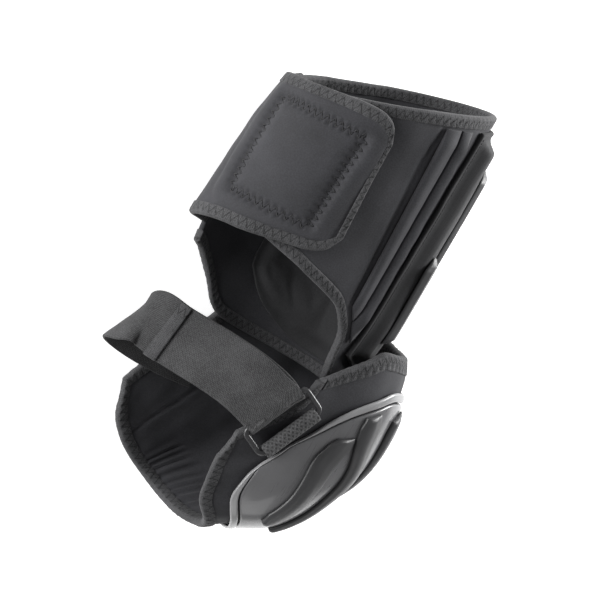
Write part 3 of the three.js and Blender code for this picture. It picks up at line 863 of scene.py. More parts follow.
    def stitches(
        self,
        name: str,
        patch: Patch,
        places: Array,
        height: Height,
        thickness: float = 0.55,
        gap: float = 0.0,
        jump: int = 1,
    ) -> bpy.types.Object:
        """Lays a row of stitches over a patch.

        Args:
            name: The piece's name.
            patch: The patch that they are sewn to.
            places: Shares across and down of the needle's holes, one a row.
            height: Heights of the cloth there.
            thickness: The thread's thickness.
            gap: How much shorter a stitch is than its leg.
            jump: 1 for a stitch on each leg, 2 for one on every second leg.

        Returns:
            The row as one mesh.
        """
        u, v = places[:, 0], places[:, 1]
        turn, run = patch.place(u, v)
        spot = Spot(u, v, turn, run, 0 * u + 9, 0 * u + 9, patch.wide())
        base = height(spot)
        points = patch.at(u, v, base)
        lift = patch.at(u, v, base + 1) - points
        start, end = points[:-1:jump], points[1::jump]
        count = min(len(start), len(end))
        start, end = start[:count], end[:count]
        up = lift[:-1:jump][:count]
        centre = (start + end) / 2
        along = end - start
        length = np.linalg.norm(along, axis=1, keepdims=True)
        kept = (length[:, 0] > 0.2) & (length[:, 0] < 12) & (np.linalg.norm(up, axis=1) > 0.5)
        centre, along, up, length = centre[kept], along[kept], up[kept], length[kept]
        direction = along / length
        side = np.cross(up, direction)
        side /= np.linalg.norm(side, axis=1, keepdims=True)
        up = np.cross(direction, side)
        row, shape = self.copied_stitch(name, len(centre))
        cloud = (
            centre[:, None, :]
            + shape[None, :, 0:1] * (direction * (length + thickness * 0.6 - gap))[:, None, :]
            + shape[None, :, 1:2] * (side * thickness)[:, None, :]
            + shape[None, :, 2:3] * (up * thickness)[:, None, :]
        )
        row.data.vertices.foreach_set("co", self.metres(cloud.reshape(-1, 3)).ravel())
        row.data.update()
        bpy.ops.object.shade_smooth()
        return row


@dataclass(frozen=True)
class Inflation:
    """A short cloth simulation that swells a padded piece.

    Attributes:
        pressure: The air pressure in the pad.
        cap: The furthest that a point may move, in metres.
        frames: The last frame.
        quality: The simulation's steps in a frame.
        mass: Mass of a point of the cloth, in kilograms.
    """

    pressure: float = 4.0
    cap: float = 0.0018
    frames: int = 16
    quality: int = 4
    mass: float = 0.2

    def swell(self, pad: bpy.types.Object) -> None:
        """Swells a pad and writes the result to its mesh.

        Args:
            pad: The pad, a closed mesh whose group named sewn stays put.
        """
        mesh = pad.data
        before = points_of(mesh)
        pick(pad)
        bpy.ops.object.modifier_add(type="CLOTH")
        cloth = pad.modifiers[-1]
        cloth.settings.quality = self.quality
        cloth.settings.mass = self.mass
        cloth.settings.use_pressure = True
        cloth.settings.uniform_pressure_force = self.pressure
        cloth.settings.effector_weights.gravity = 0
        cloth.settings.vertex_group_mass = "sewn"
        cloth.collision_settings.use_collision = False
        cloth.point_cache.frame_end = self.frames
        for number in range(1, self.frames + 1):
            bpy.context.scene.frame_set(number)
        bpy.ops.object.modifier_apply(modifier=cloth.name)
        bpy.context.scene.frame_set(1)
        move = points_of(mesh) - before
        size = np.linalg.norm(move, axis=1, keepdims=True)
        move *= np.minimum(1, self.cap / np.maximum(size, 1e-9))
        mesh.vertices.foreach_set("co", (before + move).ravel())
        pad.vertex_groups.clear()
        mesh.update()


# Finishes


class Socket:
    """An output socket of a material, for use in expressions."""

    def __init__(self, shader: "Shader", link: bpy.types.NodeSocket) -> None:
        """Keeps the material and the socket."""
        self.shader = shader
        self.link = link

    def math(self, operation: str, *others: "float | Socket") -> "Socket":
        """Adds a Math node.

        Args:
            operation: The node's operation.
            others: Its further values.

        Returns:
            The node's result.
        """
        inputs = {0: self.link}
        for k, other in enumerate(others, 1):
            inputs[k] = other.link if isinstance(other, Socket) else other
        return self.shader.node("ShaderNodeMath", {"operation": operation}, inputs)

    def __add__(self, other: "float | Socket") -> "Socket":
        """Adds."""
        return self.math("ADD", other)

    __radd__ = __add__

    def __mul__(self, other: "float | Socket") -> "Socket":
        """Multiplies."""
        return self.math("MULTIPLY", other)

    __rmul__ = __mul__

    def __sub__(self, other: "float | Socket") -> "Socket":
        """Subtracts."""
        return self.math("SUBTRACT", other)

    def __rsub__(self, other: float) -> "Socket":
        """Subtracts from a number."""
        return self * -1 + other

    def sin(self) -> "Socket":
        """Takes the sine."""
        return self.math("SINE")

    def abs(self) -> "Socket":
        """Takes the absolute value."""
        return self.math("ABSOLUTE")

    def power(self, exponent: float) -> "Socket":
        """Raises to a power."""
        return self.math("POWER", exponent)

    def most(self, other: "Socket") -> "Socket":
        """Takes the larger value."""
        return self.math("MAXIMUM", other)


Colour = tuple[float, float, float]


class Shader:
    """A material under construction, with one Principled surface."""

    def __init__(self, name: str) -> None:
        """Makes the material.

        Args:
            name: The material's name.
        """
        self.material = bpy.data.materials.new(name)
        self.material.use_nodes = True
        self.tree = self.material.node_tree
        self.tree.nodes.clear()
        self.surface = self.tree.nodes.new("ShaderNodeBsdfPrincipled")
        output = self.tree.nodes.new("ShaderNodeOutputMaterial")
        self.tree.links.new(self.surface.outputs[0], output.inputs[0])

    def node(self, kind: str, settings: dict, inputs: dict, output: "int | str" = 0) -> Socket:
        """Adds a node.

        Args:
            kind: The node's type.
            settings: Its settings, set first.
            inputs: Values or links of its sockets, by name or number.
            output: The output wanted, by name or number.

        Returns:
            That output.
        """
        node = self.tree.nodes.new(kind)
        for key, value in settings.items():
            setattr(node, key, value)
        for key, value in inputs.items():
            if isinstance(value, Socket):
                value = value.link
            if isinstance(value, bpy.types.NodeSocket):
                self.tree.links.new(value, node.inputs[key])
            else:
                node.inputs[key].default_value = value
        return Socket(self, node.outputs[output])

    def grain(self, size: float, detail: float = 2.0, stretch: Colour = (1, 1, 1)) -> Socket:
        """Gives a noise in the object's own coordinates.

        Args:
            size: Rough size of its spots, in millimetres.
            detail: The noise's detail.
            stretch: Scale along each axis.

        Returns:
            Values about 0.5.
        """
        place = self.node("ShaderNodeTexCoord", {}, {}, "Object")
        place = self.node("ShaderNodeMapping", {}, {"Vector": place, "Scale": stretch})
        return self.node(
            "ShaderNodeTexNoise",
            {},
            {"Vector": place, "Scale": 1 / (size * MM), "Detail": detail, "Roughness": 0.6},
        )

    def thread_lines(self) -> tuple[Socket, Socket]:
        """Reads the piece's own UV map.

        Returns:
            The millimetres along and the millimetres across.
        """
        place = self.node("ShaderNodeUVMap", {"uv_map": "mm"}, {})
        along = self.node("ShaderNodeSeparateXYZ", {}, {0: place}, 0)
        return along, Socket(self, along.link.node.outputs[1])

    def blend(self, share: Socket, dark: Colour, light: Colour) -> Socket:
        """Mixes two colours.

        Args:
            share: How much of the light colour shows.
            dark: The colour at 0.
            light: The colour at 1.

        Returns:
            The mixed colour.
        """
        return self.node(
            "ShaderNodeMix",
            {"data_type": "RGBA", "clamp_factor": True},
            {0: share, 6: (*dark, 1), 7: (*light, 1)},
            2,
        )

    def finish(self, colour: Socket, roughness: Socket, relief: Socket, depth: float, **fixed: float) -> None:
        """Connects the surface.

        Args:
            colour: Its base colour.
            roughness: Its roughness.
            relief: Its fine relief, from 0 to 1.
            depth: The relief's depth in millimetres.
            fixed: Values of further sockets, with _ for a space in their names.
        """
        bump = self.node("ShaderNodeBump", {}, {"Height": relief, "Distance": depth * MM, "Strength": 1.0})
        self.tree.links.new(colour.link, self.surface.inputs["Base Color"])
        self.tree.links.new(roughness.link, self.surface.inputs["Roughness"])
        self.tree.links.new(bump.link, self.surface.inputs["Normal"])
        for key, value in fixed.items():
            self.surface.inputs[key.replace("_", " ")].default_value = value


@dataclass(frozen=True)
class Zigzag:
    """A three-step zigzag seam along an edge.

    Attributes:
        middle: Distance of its middle line from the edge.
        reach: How far it swings to each side.
        step: Length of a stitch along the edge.
        legs: Stitches in each swing.
    """

    middle: float = 4.3
    reach: float = 2.3
    step: float = 0.8
    legs: int = 3

    def across(self, along: Array) -> Array:
        """Gives the seam's distance from the edge at distances along it."""
        swing = np.mod(along / (self.step * self.legs), 2)
        return self.middle + self.reach * (1 - 2 * np.abs(swing - 1))


class Weave(Enum):
    """How a cloth is made."""

    JERSEY = "fine knit over foam"
    BRUSHED = "brushed lining"
    TAPE = "ribbed binding tape"
    TWILL = "woven elastic"
    LATTICE = "open ribbed elastic"


@dataclass(frozen=True)
class Cloth:
    """A cloth finish.

    Attributes:
        name: The material's name.
        weave: How it is made.
        dark: Colour between the threads; on the binding tape it is also the painted shade along its seam's
            groove.
        light: Colour on top of the threads.
        pitch: Distance between threads, in millimetres.
        depth: Depth of the threads, in millimetres.
        sheen: Strength of its soft edge light.
    """

    name: str
    weave: Weave
    dark: Colour
    light: Colour
    pitch: float = 0.8
    depth: float = 0.05
    sheen: float = 0.05

    def threads(self, shader: Shader) -> Socket:
        """Gives the threads' relief, which also sets the colour; on the tape it holds the painted shade along
        the seam.

        Args:
            shader: The material.

        Returns:
            The relief, from 0 to 1.
        """
        along, across = shader.thread_lines()
        turn = 2 * math.pi / self.pitch
        if self.weave is Weave.TWILL:
            warp = (across * turn).sin() * 0.5 + 0.5
            weft = ((along + across * 0.5) * (turn * 0.85)).sin() * 0.5 + 0.5
            return warp * 0.5 + weft * 0.5
        if self.weave is Weave.LATTICE:
            left = ((along + across) * (turn / 2)).sin().abs()
            right = ((along - across) * (turn / 2)).sin().abs()
            return left.most(right).power(2.0)
        if self.weave is Weave.TAPE:
            # The tape's seam mask darkens its colour as well: painted shade in the seam's groove.
            ribbed = (along * turn).sin() * 0.2 + (across * turn).sin() * 0.1 + 0.8
            return ribbed * self.seam(along, across)
        return (along * turn).sin() * (across * turn).sin() * 0.5 + 0.5

    @staticmethod
    def seam(along: Socket, across: Socket) -> Socket:
        """Gives 0 along the zigzag seam and 1 elsewhere: painted shade in the seam's pressed groove.

        Args:
            along: Millimetres along the tape.
            across: Millimetres from its edge.

        Returns:
            The share of light that the seam leaves.
        """
        zigzag = Zigzag()
        swing = along.math("DIVIDE", zigzag.step * zigzag.legs).math("MODULO", 2.0)
        line = (swing - 1).abs() * (-2 * zigzag.reach) + (zigzag.middle + zigzag.reach)
        return ((across - line).abs() * 0.95).math("MINIMUM", 1.0)

    def material(self) -> bpy.types.Material:
        """Makes the cloth's material.

        Returns:
            The material.
        """
        shader = Shader(self.name)
        threads = self.threads(shader)
        fine = shader.grain(0.9, 3.0)
        broad = shader.grain(22.0, 2.0)
        woven = self.weave in (Weave.TWILL, Weave.LATTICE, Weave.TAPE)
        # The threads' relief also sets the colour; on the tape this paints shade along the seam.
        share = threads * (0.7 if woven else 0.25) + (fine - 0.5) * 1.8 + (broad - 0.5) * 0.9
        share = share + (0.12 if woven else 0.38)
        roughness = fine * 0.2 + (0.68 if woven else 0.7)
        relief = threads * 0.7 + fine * 0.6
        shader.finish(
            shader.blend(share, self.dark, self.light),
            roughness,
            relief,
            self.depth,
            Sheen_Weight=self.sheen,
            Sheen_Roughness=0.5,
            Specular_IOR_Level=0.35,
        )
        return shader.material


@dataclass(frozen=True)
class Moulding:
    """A moulded plastic or rubber finish.

    Attributes:
        name: The material's name.
        dark: Its darker colour.
        light: Its lighter colour.
        gloss: Its roughness.
        grain: Size of its grain, in millimetres.
        depth: Depth of the grain, in millimetres.
        coat: Weight of its clear coat.
        glow: Strength of its own light, as from a lit table.
    """

    name: str
    dark: Colour
    light: Colour
    gloss: float = 0.3
    grain: float = 1.5
    depth: float = 0.01
    coat: float = 0.0
    glow: float = 0.0

    def material(self) -> bpy.types.Material:
        """Makes the moulding's material, with faint rubs and flow marks.

        Returns:
            The material.
        """
        shader = Shader(self.name)
        fine = shader.grain(self.grain, 3.0)
        broad = shader.grain(35.0, 2.0)
        rubs = shader.grain(3.0, 4.0, (1.0, 0.12, 1.0))
        share = (fine - 0.5) * 0.35 + (broad - 0.5) * 1.2 + (rubs - 0.5) * 0.3 + 0.5
        roughness = (rubs - 0.5) * 0.25 + (broad - 0.5) * 0.1 + self.gloss
        shader.finish(
            shader.blend(share, self.dark, self.light),
            roughness,
            fine * 0.7 + rubs * 0.3,
            self.depth,
            Coat_Weight=self.coat,
            Coat_Roughness=0.12,
            Emission_Strength=self.glow,
        )
        return shader.material


class Finish(Enum):
    """The finishes of the guard."""

    NEOPRENE = Cloth("neoprene_jersey", Weave.JERSEY, (0.015, 0.015, 0.017), (0.036, 0.036, 0.041))
    LINING = Cloth("brushed_lining", Weave.BRUSHED, (0.011, 0.011, 0.012), (0.026, 0.026, 0.028))
    # The tape's dark colour is also the painted shade in its seam's groove.
    TAPE = Cloth("binding_tape", Weave.TAPE, (0.004, 0.004, 0.0045), (0.058, 0.058, 0.061), 1.1, 0.25)
    SKIN = Cloth("pad_skin", Weave.JERSEY, (0.01, 0.01, 0.011), (0.024, 0.024, 0.026), 1.0, 0.05)
    STRAP = Cloth("strap_elastic", Weave.TWILL, (0.006, 0.006, 0.0065), (0.06, 0.06, 0.062), 1.0, 0.16)
    ANCHOR = Cloth("anchor_elastic", Weave.LATTICE, (0.008, 0.008, 0.0085), (0.07, 0.07, 0.072), 3.0, 0.4)
    THREAD = Moulding("sewing_thread", (0.006, 0.006, 0.007), (0.016, 0.016, 0.018), 0.6, 0.4, 0.03)
    SHELL = Moulding("shell_plastic", (0.07, 0.07, 0.073), (0.115, 0.115, 0.119), 0.3, 1.2, 0.006, 0.5)
    RIM = Moulding("rim_plastic", (0.17, 0.17, 0.173), (0.26, 0.26, 0.265), 0.32, 1.0, 0.008, 0.3)
    RUBBER = Moulding("rib_rubber", (0.018, 0.018, 0.019), (0.042, 0.042, 0.044), 0.42, 0.7, 0.03)
    RING = Moulding("ring_plastic", (0.014, 0.014, 0.015), (0.03, 0.03, 0.032), 0.28, 1.0, 0.01, 0.3)
    FLOOR = Moulding("pale_floor", (0.86, 0.86, 0.86), (0.9, 0.9, 0.9), 0.85, 6.0, 0.01, 0.0, 0.66)


class Dresser:
    """Gives each piece its material and the body that it rides on."""

    def __init__(self) -> None:
        """Makes the materials once each."""
        self.materials = {finish: finish.value.material() for finish in Finish}

    def dress(self, piece: bpy.types.Object, finish: Finish, slot: str, *nodes: str) -> bpy.types.Object:
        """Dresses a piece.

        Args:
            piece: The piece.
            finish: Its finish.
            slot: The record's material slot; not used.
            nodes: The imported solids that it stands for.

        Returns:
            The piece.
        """
        piece.data.materials.clear()
        piece.data.materials.append(self.materials[finish])
        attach(piece, BODY)
        if nodes:
            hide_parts(*nodes)
        log.info("%s: %d faces", piece.name, len(piece.data.polygons))
        return piece


# Sewing


def ripple(spot: Spot, size: float, depth: float, seed: float) -> Array:
    """Gives the slight unevenness of hand-sewn goods.

    Args:
        spot: The points.
        size: Rough distance between swells, in millimetres.
        depth: Their height.
        seed: Any number, another for each piece.

    Returns:
        Heights about 0.
    """
    total = 0 * spot.u
    for k in range(5):
        turn = seed + 2.4 * k
        rate = 2 * math.pi / (size * (0.6 + 0.25 * k))
        place = spot.turn * math.cos(turn) + spot.run * math.sin(turn)
        total = total + np.sin(place * rate + seed * (k + 1))
    return total * depth / 2.2


def dent(off: Array, depth: float, width: float) -> Array:
    """Gives a smooth dent along a line.

    Args:
        off: Distances from the line.
        depth: The dent's depth on the line.
        width: The distance where about a third of the depth is left.

    Returns:
        The depths.
    """
    return depth * np.exp(-((off / width) ** 2))


def from_line(x: Array, y: Array, line: Array) -> Array:
    """Measures from points to a line of straight pieces.

    Args:
        x: The points' first coordinates.
        y: Their second coordinates.
        line: The line's corners, one a row.

    Returns:
        The distances.
    """
    best = np.full(x.shape, 1e9)
    for start, end in zip(line[:-1], line[1:]):
        along = end - start
        share = ((x - start[0]) * along[0] + (y - start[1]) * along[1]) / (along @ along)
        share = np.clip(share, 0, 1)
        best = np.minimum(best, np.hypot(x - start[0] - share * along[0], y - start[1] - share * along[1]))
    return best


@dataclass(frozen=True)
class Sewing:
    """Sizes of cloth, tape and seams.

    Attributes:
        tape: Width of the binding tape.
        proud: How far the tape stands over the cloth.
        seam: Gap between cloth and tape.
        layer: Gap between layers.
        sleeve: Thickness of the cuff's cloth.
        cup: Thickness of the cup's cloth.
        tuck: How far cloth runs in under its tape.
        bite: Depth of the seam in the tape.
        pucker: How far the tape puckers along the seam.
        cell: Grid of the tape.
    """

    tape: float = 8
    proud: float = 0.8
    seam: float = 0.5
    layer: float = 0.5
    sleeve: float = 3.5
    cup: float = 4
    tuck: float = 1.5
    bite: float = 0.65
    pucker: float = 0.22
    cell: float = 0.8


class Workshop:
    """Holds what every sub-assembly shares, and binds edges with tape."""

    def __init__(self, arm: ArmSizes, bench: Bench, dresser: Dresser, sewing: Sewing) -> None:
        """Keeps the shared things.

        Args:
            arm: Sizes that place the two faces.
            bench: Makes the meshes.
            dresser: Gives them their finish.
            sewing: Sizes of cloth, tape and seams.
        """
        self.arm = arm
        self.bench = bench
        self.dresser = dresser
        self.sewing = sewing
        self.cuff = CuffFace(arm)
        self.cup = CupFace(arm)

    def bind(self, name: str, strip: Strip, low: Height, high: Height, both: bool = False) -> None:
        """Binds an edge with tape and sews the tape on.

        Args:
            name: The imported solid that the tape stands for.
            strip: Where the tape lies.
            low: Heights of the cloth's inner side.
            high: Heights of its outer side.
            both: Whether the seam shows on the inner side too.
        """
        sewing = self.sewing
        zigzag = Zigzag()
        seed = float(len(name))

        def pressed(spot: Spot) -> Array:
            """Gives how far the seam presses and puckers the tape.

            Args:
                spot: The points.

            Returns:
                Heights about the tape's face.
            """
            along = spot.u * spot.length
            off = spot.v * sewing.tape - zigzag.across(along)
            pucker = sewing.pucker * np.cos(along * math.pi / (zigzag.step * zigzag.legs))
            free = np.clip(1 - spot.v / 0.4, 0, 1)
            pull = pucker * (0.4 + free) + ripple(spot, 17.0, 0.12, seed)
            return pull - dent(off, sewing.bite, 0.75)

        def outer(spot: Spot) -> Array:
            """Gives the tape's outer heights."""
            return high(spot) + sewing.proud + pressed(spot)

        def inner(spot: Spot) -> Array:
            """Gives the tape's inner heights."""
            return low(spot) - sewing.proud - pressed(spot)

        rims = Rims(0, 0, 2.3, 0.7) if strip.closed else Rims(1.0, 1.0, 2.3, 0.7)
        tape = self.bench.cushion(name, strip, inner, outer, sewing.cell, rims)
        self.dresser.dress(tape, Finish.TAPE, "binding_tape", name)
        length = strip.wide()
        along = np.arange(2.0, length - 2.0, zigzag.step)
        places = np.stack([along / length, zigzag.across(along) / sewing.tape], axis=-1)
        sides = [("outer", outer, 0.1)] + ([("inner", inner, -0.1)] if both else [])
        for word, face, lift in sides:
            seam = self.bench.stitches(
                f"{name}_seam_{word}", strip, places, lambda spot: face(spot) + lift, 0.62, 0.25
            )
            self.dresser.dress(seam, Finish.THREAD, "binding_tape")

    def seam(
        self, name: str, sheet: Sheet, line: Sequence[tuple[float, float]], height: Height, step: float = 2.3
    ) -> None:
        """Sews a straight seam of single stitches over a face.

        Args:
            name: The seam's name.
            sheet: The face.
            line: Turns and runs that the seam passes through.
            height: Heights of the cloth.
            step: Length of a stitch.
        """
        path = curve_through(np.array(line), 400)
        points = sheet.at(path[:, 0], path[:, 1], np.zeros(len(path)))
        shares = np.concatenate([[0.0], np.cumsum(np.linalg.norm(np.diff(points, axis=0), axis=1))])
        count = 2 * int(shares[-1] / step / 2)
        at = np.linspace(0, shares[-1], count)
        places = np.stack([np.interp(at, shares, path[:, k]) for k in (0, 1)], axis=-1)
        row = self.bench.stitches(name, sheet, places, height, 0.5, 0.5)
        self.dresser.dress(row, Finish.THREAD, "binding_tape")


def insets(patch: Patch, u: Array, width: float) -> Array:
    """Turns a width from an edge into shares down a patch.

    Args:
        patch: The patch.
        u: Shares across.
        width: The width in millimetres.

    Returns:
        Shares down.
    """
    return width / patch.tall(u)


def pairs(u: "Array | float", v: "Array | float") -> Array:
    """Joins shares across and down into rows."""
    u, v = np.broadcast_arrays(np.atleast_1d(u), np.atleast_1d(v))
    return np.stack([u, v], axis=-1).astype(float)


# The upper-arm cuff


@dataclass(frozen=True)
class Cuff:
    """The sleeve round the upper arm with its two bound edges and sewn lines.

    Attributes:
        shop: The shared workshop.
        rise_back: How much higher the top edge stands at the back.
        rise_near: How much higher it stands on the near side.
        hinge: Turn of the flap's hinge.
        panel: Turn where the near panel ends.
    """

    shop: Workshop
    rise_back: float = 18
    rise_near: float = 6
    hinge: float = 222
    panel: float = 178

    seam_line = ((79.7, 158.0), (81.5, 138.0), (78.8, 100.0), (75.8, 69.0), (74.7, 49.0))

    def top(self, turn: Array, drop: float = 0) -> Place:
        """Gives the top edge, or a line under it.

        Args:
            turn: Turns.
            drop: Distance under the edge.

        Returns:
            Turns and runs.
        """
        run = self.shop.arm.cuff_height + self.rise_back * np.cos(np.radians(turn))
        return turn, run + self.rise_near * np.sin(np.radians(turn)) - drop

    def patch(self) -> Patch:
        """Gives the patch of the whole wall.

        Returns:
            The wall from the hinge round the back to the near panel.
        """
        start = self.hinge - 360
        lower = Edge(
            (
                (start, 0.16), (-129.6, 0.133), (-115.5, 0.045), (-104.4, -0.04), (-92, -0.075),
                (-60, -0.088), (0, -0.088), (38, -0.085), (54, -0.045), (60.4, 0.043), (65, 0.132),
                (71, 0.182), (80.6, 0.243), (90.5, 0.272), (104.4, 0.303), (118.3, 0.33),
                (145, 0.36), (self.panel, 0.35),
            ),
            self.shop.arm.cuff_height,
        )
        return Patch(self.shop.cuff, lambda u: self.top(start + (self.panel - start) * u), lower)

    def surface(self, spot: Spot) -> Array:
        """Gives the sleeve's outer height with its pressed seam line.

        Args:
            spot: The points.

        Returns:
            The heights.
        """
        runs = np.array([run for _, run in self.seam_line][::-1])
        turns = np.array([turn for turn, _ in self.seam_line][::-1])
        off = (spot.turn - np.interp(spot.run, runs, turns)) * 0.9
        on = smooth((spot.run - 40) / 10)
        groove = dent(off - 3.2, 0.35, 2.2) - dent(off, 0.9, 0.9)
        return groove * on + ripple(spot, 38.0, 0.3, 3.0)

    def build(self) -> None:
        """Builds the sleeve, its tape and its seam."""
        shop = self.shop
        sewing = shop.sewing
        patch = self.patch()
        hidden = sewing.tape - sewing.tuck
        sleeve = shop.bench.cushion(
            "cuff_sleeve",
            Trimmed(patch, hidden, hidden),
            lambda spot: ripple(spot, 38.0, 0.3, 3.0) - sewing.sleeve,
            self.surface,
            1.7,
        )
        shop.dresser.dress(sleeve, Finish.NEOPRENE, "neoprene", "cuff_sleeve")
        u = np.linspace(0, 1, 260)
        inset = insets(patch, u, sewing.tape)
        wall = level(-sewing.sleeve)
        top = Strip(patch, pairs(u, 0.0), pairs(u, inset))
        shop.bind("cuff_top_binding", top, wall, level(0), True)
        lower = Strip(patch, pairs(u, 1.0), pairs(u, 1 - inset))
        shop.bind("cuff_lower_binding", lower, wall, level(0), True)
        shop.seam("near_panel_seam", Sheet(shop.cuff), self.seam_line, lambda spot: self.surface(spot) + 0.1)


# The closure flap


@dataclass(frozen=True)
class Flap:
    """The flap that wraps over the front, its tape, its fastener and its stitched square.

    Attributes:
        cuff: The cuff that it closes.
        hook: Thickness of the hook fastener.
        hook_edge: Distance of the fastener from the flap's edges.
        corners: Turns and runs of the stitched square's corners.
        swing: How far its zigzag swings to each side.
        pitch: Length of a swing there and back.
        arc: Millimetres in a degree of turn there.
    """

    cuff: Cuff
    hook: float = 1.8
    hook_edge: float = 19
    corners: tuple[tuple[float, float], ...] = ((174.0, 129.5), (118.0, 134.0), (118.5, 74.5), (166.0, 70.5))
    swing: float = 2.5
    pitch: float = 4.4
    arc: float = 1.02

    def patch(self) -> Patch:
        """Gives the patch of the flap.

        Returns:
            The patch between its upper and lower edges.
        """
        height = self.cuff.shop.arm.cuff_height
        start = self.cuff.hinge - 0.6
        upper = Edge(
            (
                (start, 0.9), (205, 0.885), (185, 0.89), (166, 0.903), (142, 0.93), (130, 0.945),
                (117, 0.948), (109, 0.922), (104.5, 0.865),
            ),
            height,
        )
        lower = Edge(
            (
                (start, 0.238), (213, 0.248), (190, 0.272), (162, 0.318), (145, 0.338), (125, 0.372),
                (112, 0.395), (105, 0.428), (101, 0.485),
            ),
            height,
        )
        return Patch(self.cuff.shop.cuff, upper, lower)

    def base(self, spot: Spot) -> Array:
        """Gives the height of the flap's inner side, which comes down flush at the hinge.

        Args:
            spot: The points.

        Returns:
            The heights.
        """
        sewing = self.cuff.shop.sewing
        lift = self.hook + 2 * sewing.layer
        panel = self.cuff.panel
        share = smooth((spot.turn - panel - 4) / (self.cuff.hinge - panel - 6))
        return lift - (lift + sewing.sleeve) * share

    def square(self) -> Array:
        """Gives the needle's holes round the stitched square.

        Returns:
            Turns and runs, one hole a row.
        """
        holes = []
        flat = np.array([(turn * self.arc, run) for turn, run in self.corners])
        middle = flat.mean(axis=0)
        for start, end in zip(flat, np.roll(flat, -1, axis=0)):
            along = end - start
            length = np.linalg.norm(along)
            along /= length
            out = np.array([along[1], -along[0]])
            out *= np.sign((start + along * length / 2 - middle) @ out)
            count = int(length / self.pitch)
            at = (np.arange(count * 4) + 0.5) / (count * 4) * length
            swing = self.swing * (1 - 2 * np.abs(np.mod(np.arange(count * 4) / 2.0, 2) - 1))
            holes.append(start + along * at[:, None] + out * swing[:, None])
        holes = np.vstack(holes + [holes[0][:1]])
        return holes / np.array([self.arc, 1.0])

    def surface(self, spot: Spot) -> Array:
        """Gives the flap's outer height: a puffed frame round a pressed, stitched square.

        Args:
            spot: The points.

        Returns:
            The heights.
        """
        x, y = spot.turn * self.arc, spot.run
        corners = np.array([(turn * self.arc, run) for turn, run in self.corners])
        loop = np.vstack([corners, corners[:1]])
        inside = np.ones(x.shape, bool)
        for start, end in zip(loop[:-1], loop[1:]):
            inside &= (end[0] - start[0]) * (y - start[1]) - (end[1] - start[1]) * (x - start[0]) > 0
        off = from_line(x, y, loop)
        frame = 1.5 * np.sin(math.pi * np.clip((off - 1.0) / 12.0, 0, 1)) * ~inside
        field = 0.7 * smooth((off - 2) / 7) * inside
        threads = from_line(x, y, self.square() * np.array([self.arc, 1.0]))
        pressed = -dent(threads, 1.1, 0.9) - dent(off, 0.6, 2.8)
        wall = self.cuff.shop.sewing.sleeve
        return self.base(spot) + wall + frame + field + pressed + ripple(spot, 33.0, 0.22, 5.0)

    def build(self) -> None:
        """Builds the flap, its tape, its fastener and its stitches."""
        shop = self.cuff.shop
        sewing = shop.sewing
        patch = self.patch()
        wide = patch.wide()
        end = sewing.tape / wide
        hidden = sewing.tape - sewing.tuck
        flap = shop.bench.cushion(
            "closure_flap",
            Trimmed(patch, hidden, hidden, 0, hidden),
            self.base,
            self.surface,
            1.05,
        )
        shop.dresser.dress(flap, Finish.NEOPRENE, "neoprene", "closure_flap")

        last = 1 - end - sewing.seam / wide
        u = np.linspace(0, last, 160)
        inset = insets(patch, u, sewing.tape)
        corner = float(inset[-1])
        down = np.linspace(corner * 1.5, 1 - corner * 1.5, 40)
        edge = np.vstack([pairs(u, 0.0), [[1, 0]], pairs(1.0, down), [[1, 1]], pairs(u[::-1], 1.0)])
        inner = np.vstack(
            [
                pairs(u, inset),
                [[1 - end, corner]],
                pairs(1 - end, down),
                [[1 - end, 1 - corner]],
                pairs(u[::-1], 1 - inset[::-1]),
            ]
        )
        shop.bind(
            "flap_binding",
            Strip(patch, edge, inner),
            lambda spot: self.base(spot) + sewing.proud / 2,
            lambda spot: self.base(spot) + sewing.sleeve,
        )

        start = (170 - self.cuff.hinge) / (102 - self.cuff.hinge) * wide
        stop = (1 - (113 - self.cuff.hinge) / (102 - self.cuff.hinge)) * wide
        hook = shop.bench.cushion(
            "hook_fastener",
            Trimmed(patch, self.hook_edge, self.hook_edge, start, stop),
            level(sewing.layer),
            lambda spot: ripple(spot, 3.0, 0.12, 1.0) + sewing.layer + self.hook,
            2.0,
            Rims.even(0.8),
        )
        shop.dresser.dress(hook, Finish.LINING, "lining", "hook_fastener")
        threads = shop.bench.stitches(
            "flap_square_stitches",
            Sheet(shop.cuff),
            self.square(),
            lambda spot: self.surface(spot) + 0.15,
            0.85,
            0.4,
        )
        shop.dresser.dress(threads, Finish.THREAD, "binding_tape")


# Pads, ribs and rolls


@dataclass(frozen=True)
class PadRib:
    """A raised rib of the back pad, given by its middle line.

    Attributes:
        name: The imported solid's name.
        top: Share of the cuff's height where it starts.
        low: Share where it ends.
        turn: Turn of its upper end.
        lean: How far it leans towards the middle.
        half: Half its width in degrees.
        point: Share of its length that is drawn to a point.
    """

    name: str
    top: float
    low: float
    turn: float
    lean: float
    half: float
    point: float


@dataclass(frozen=True)
class Roll:
    """A sewn roll beside the back pad.

    Attributes:
        name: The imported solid's name.
        upper: Turns of its two sides at the top.
        lower: Turns of its two sides at the foot.
    """

    name: str
    upper: tuple[float, float]
    lower: tuple[float, float]


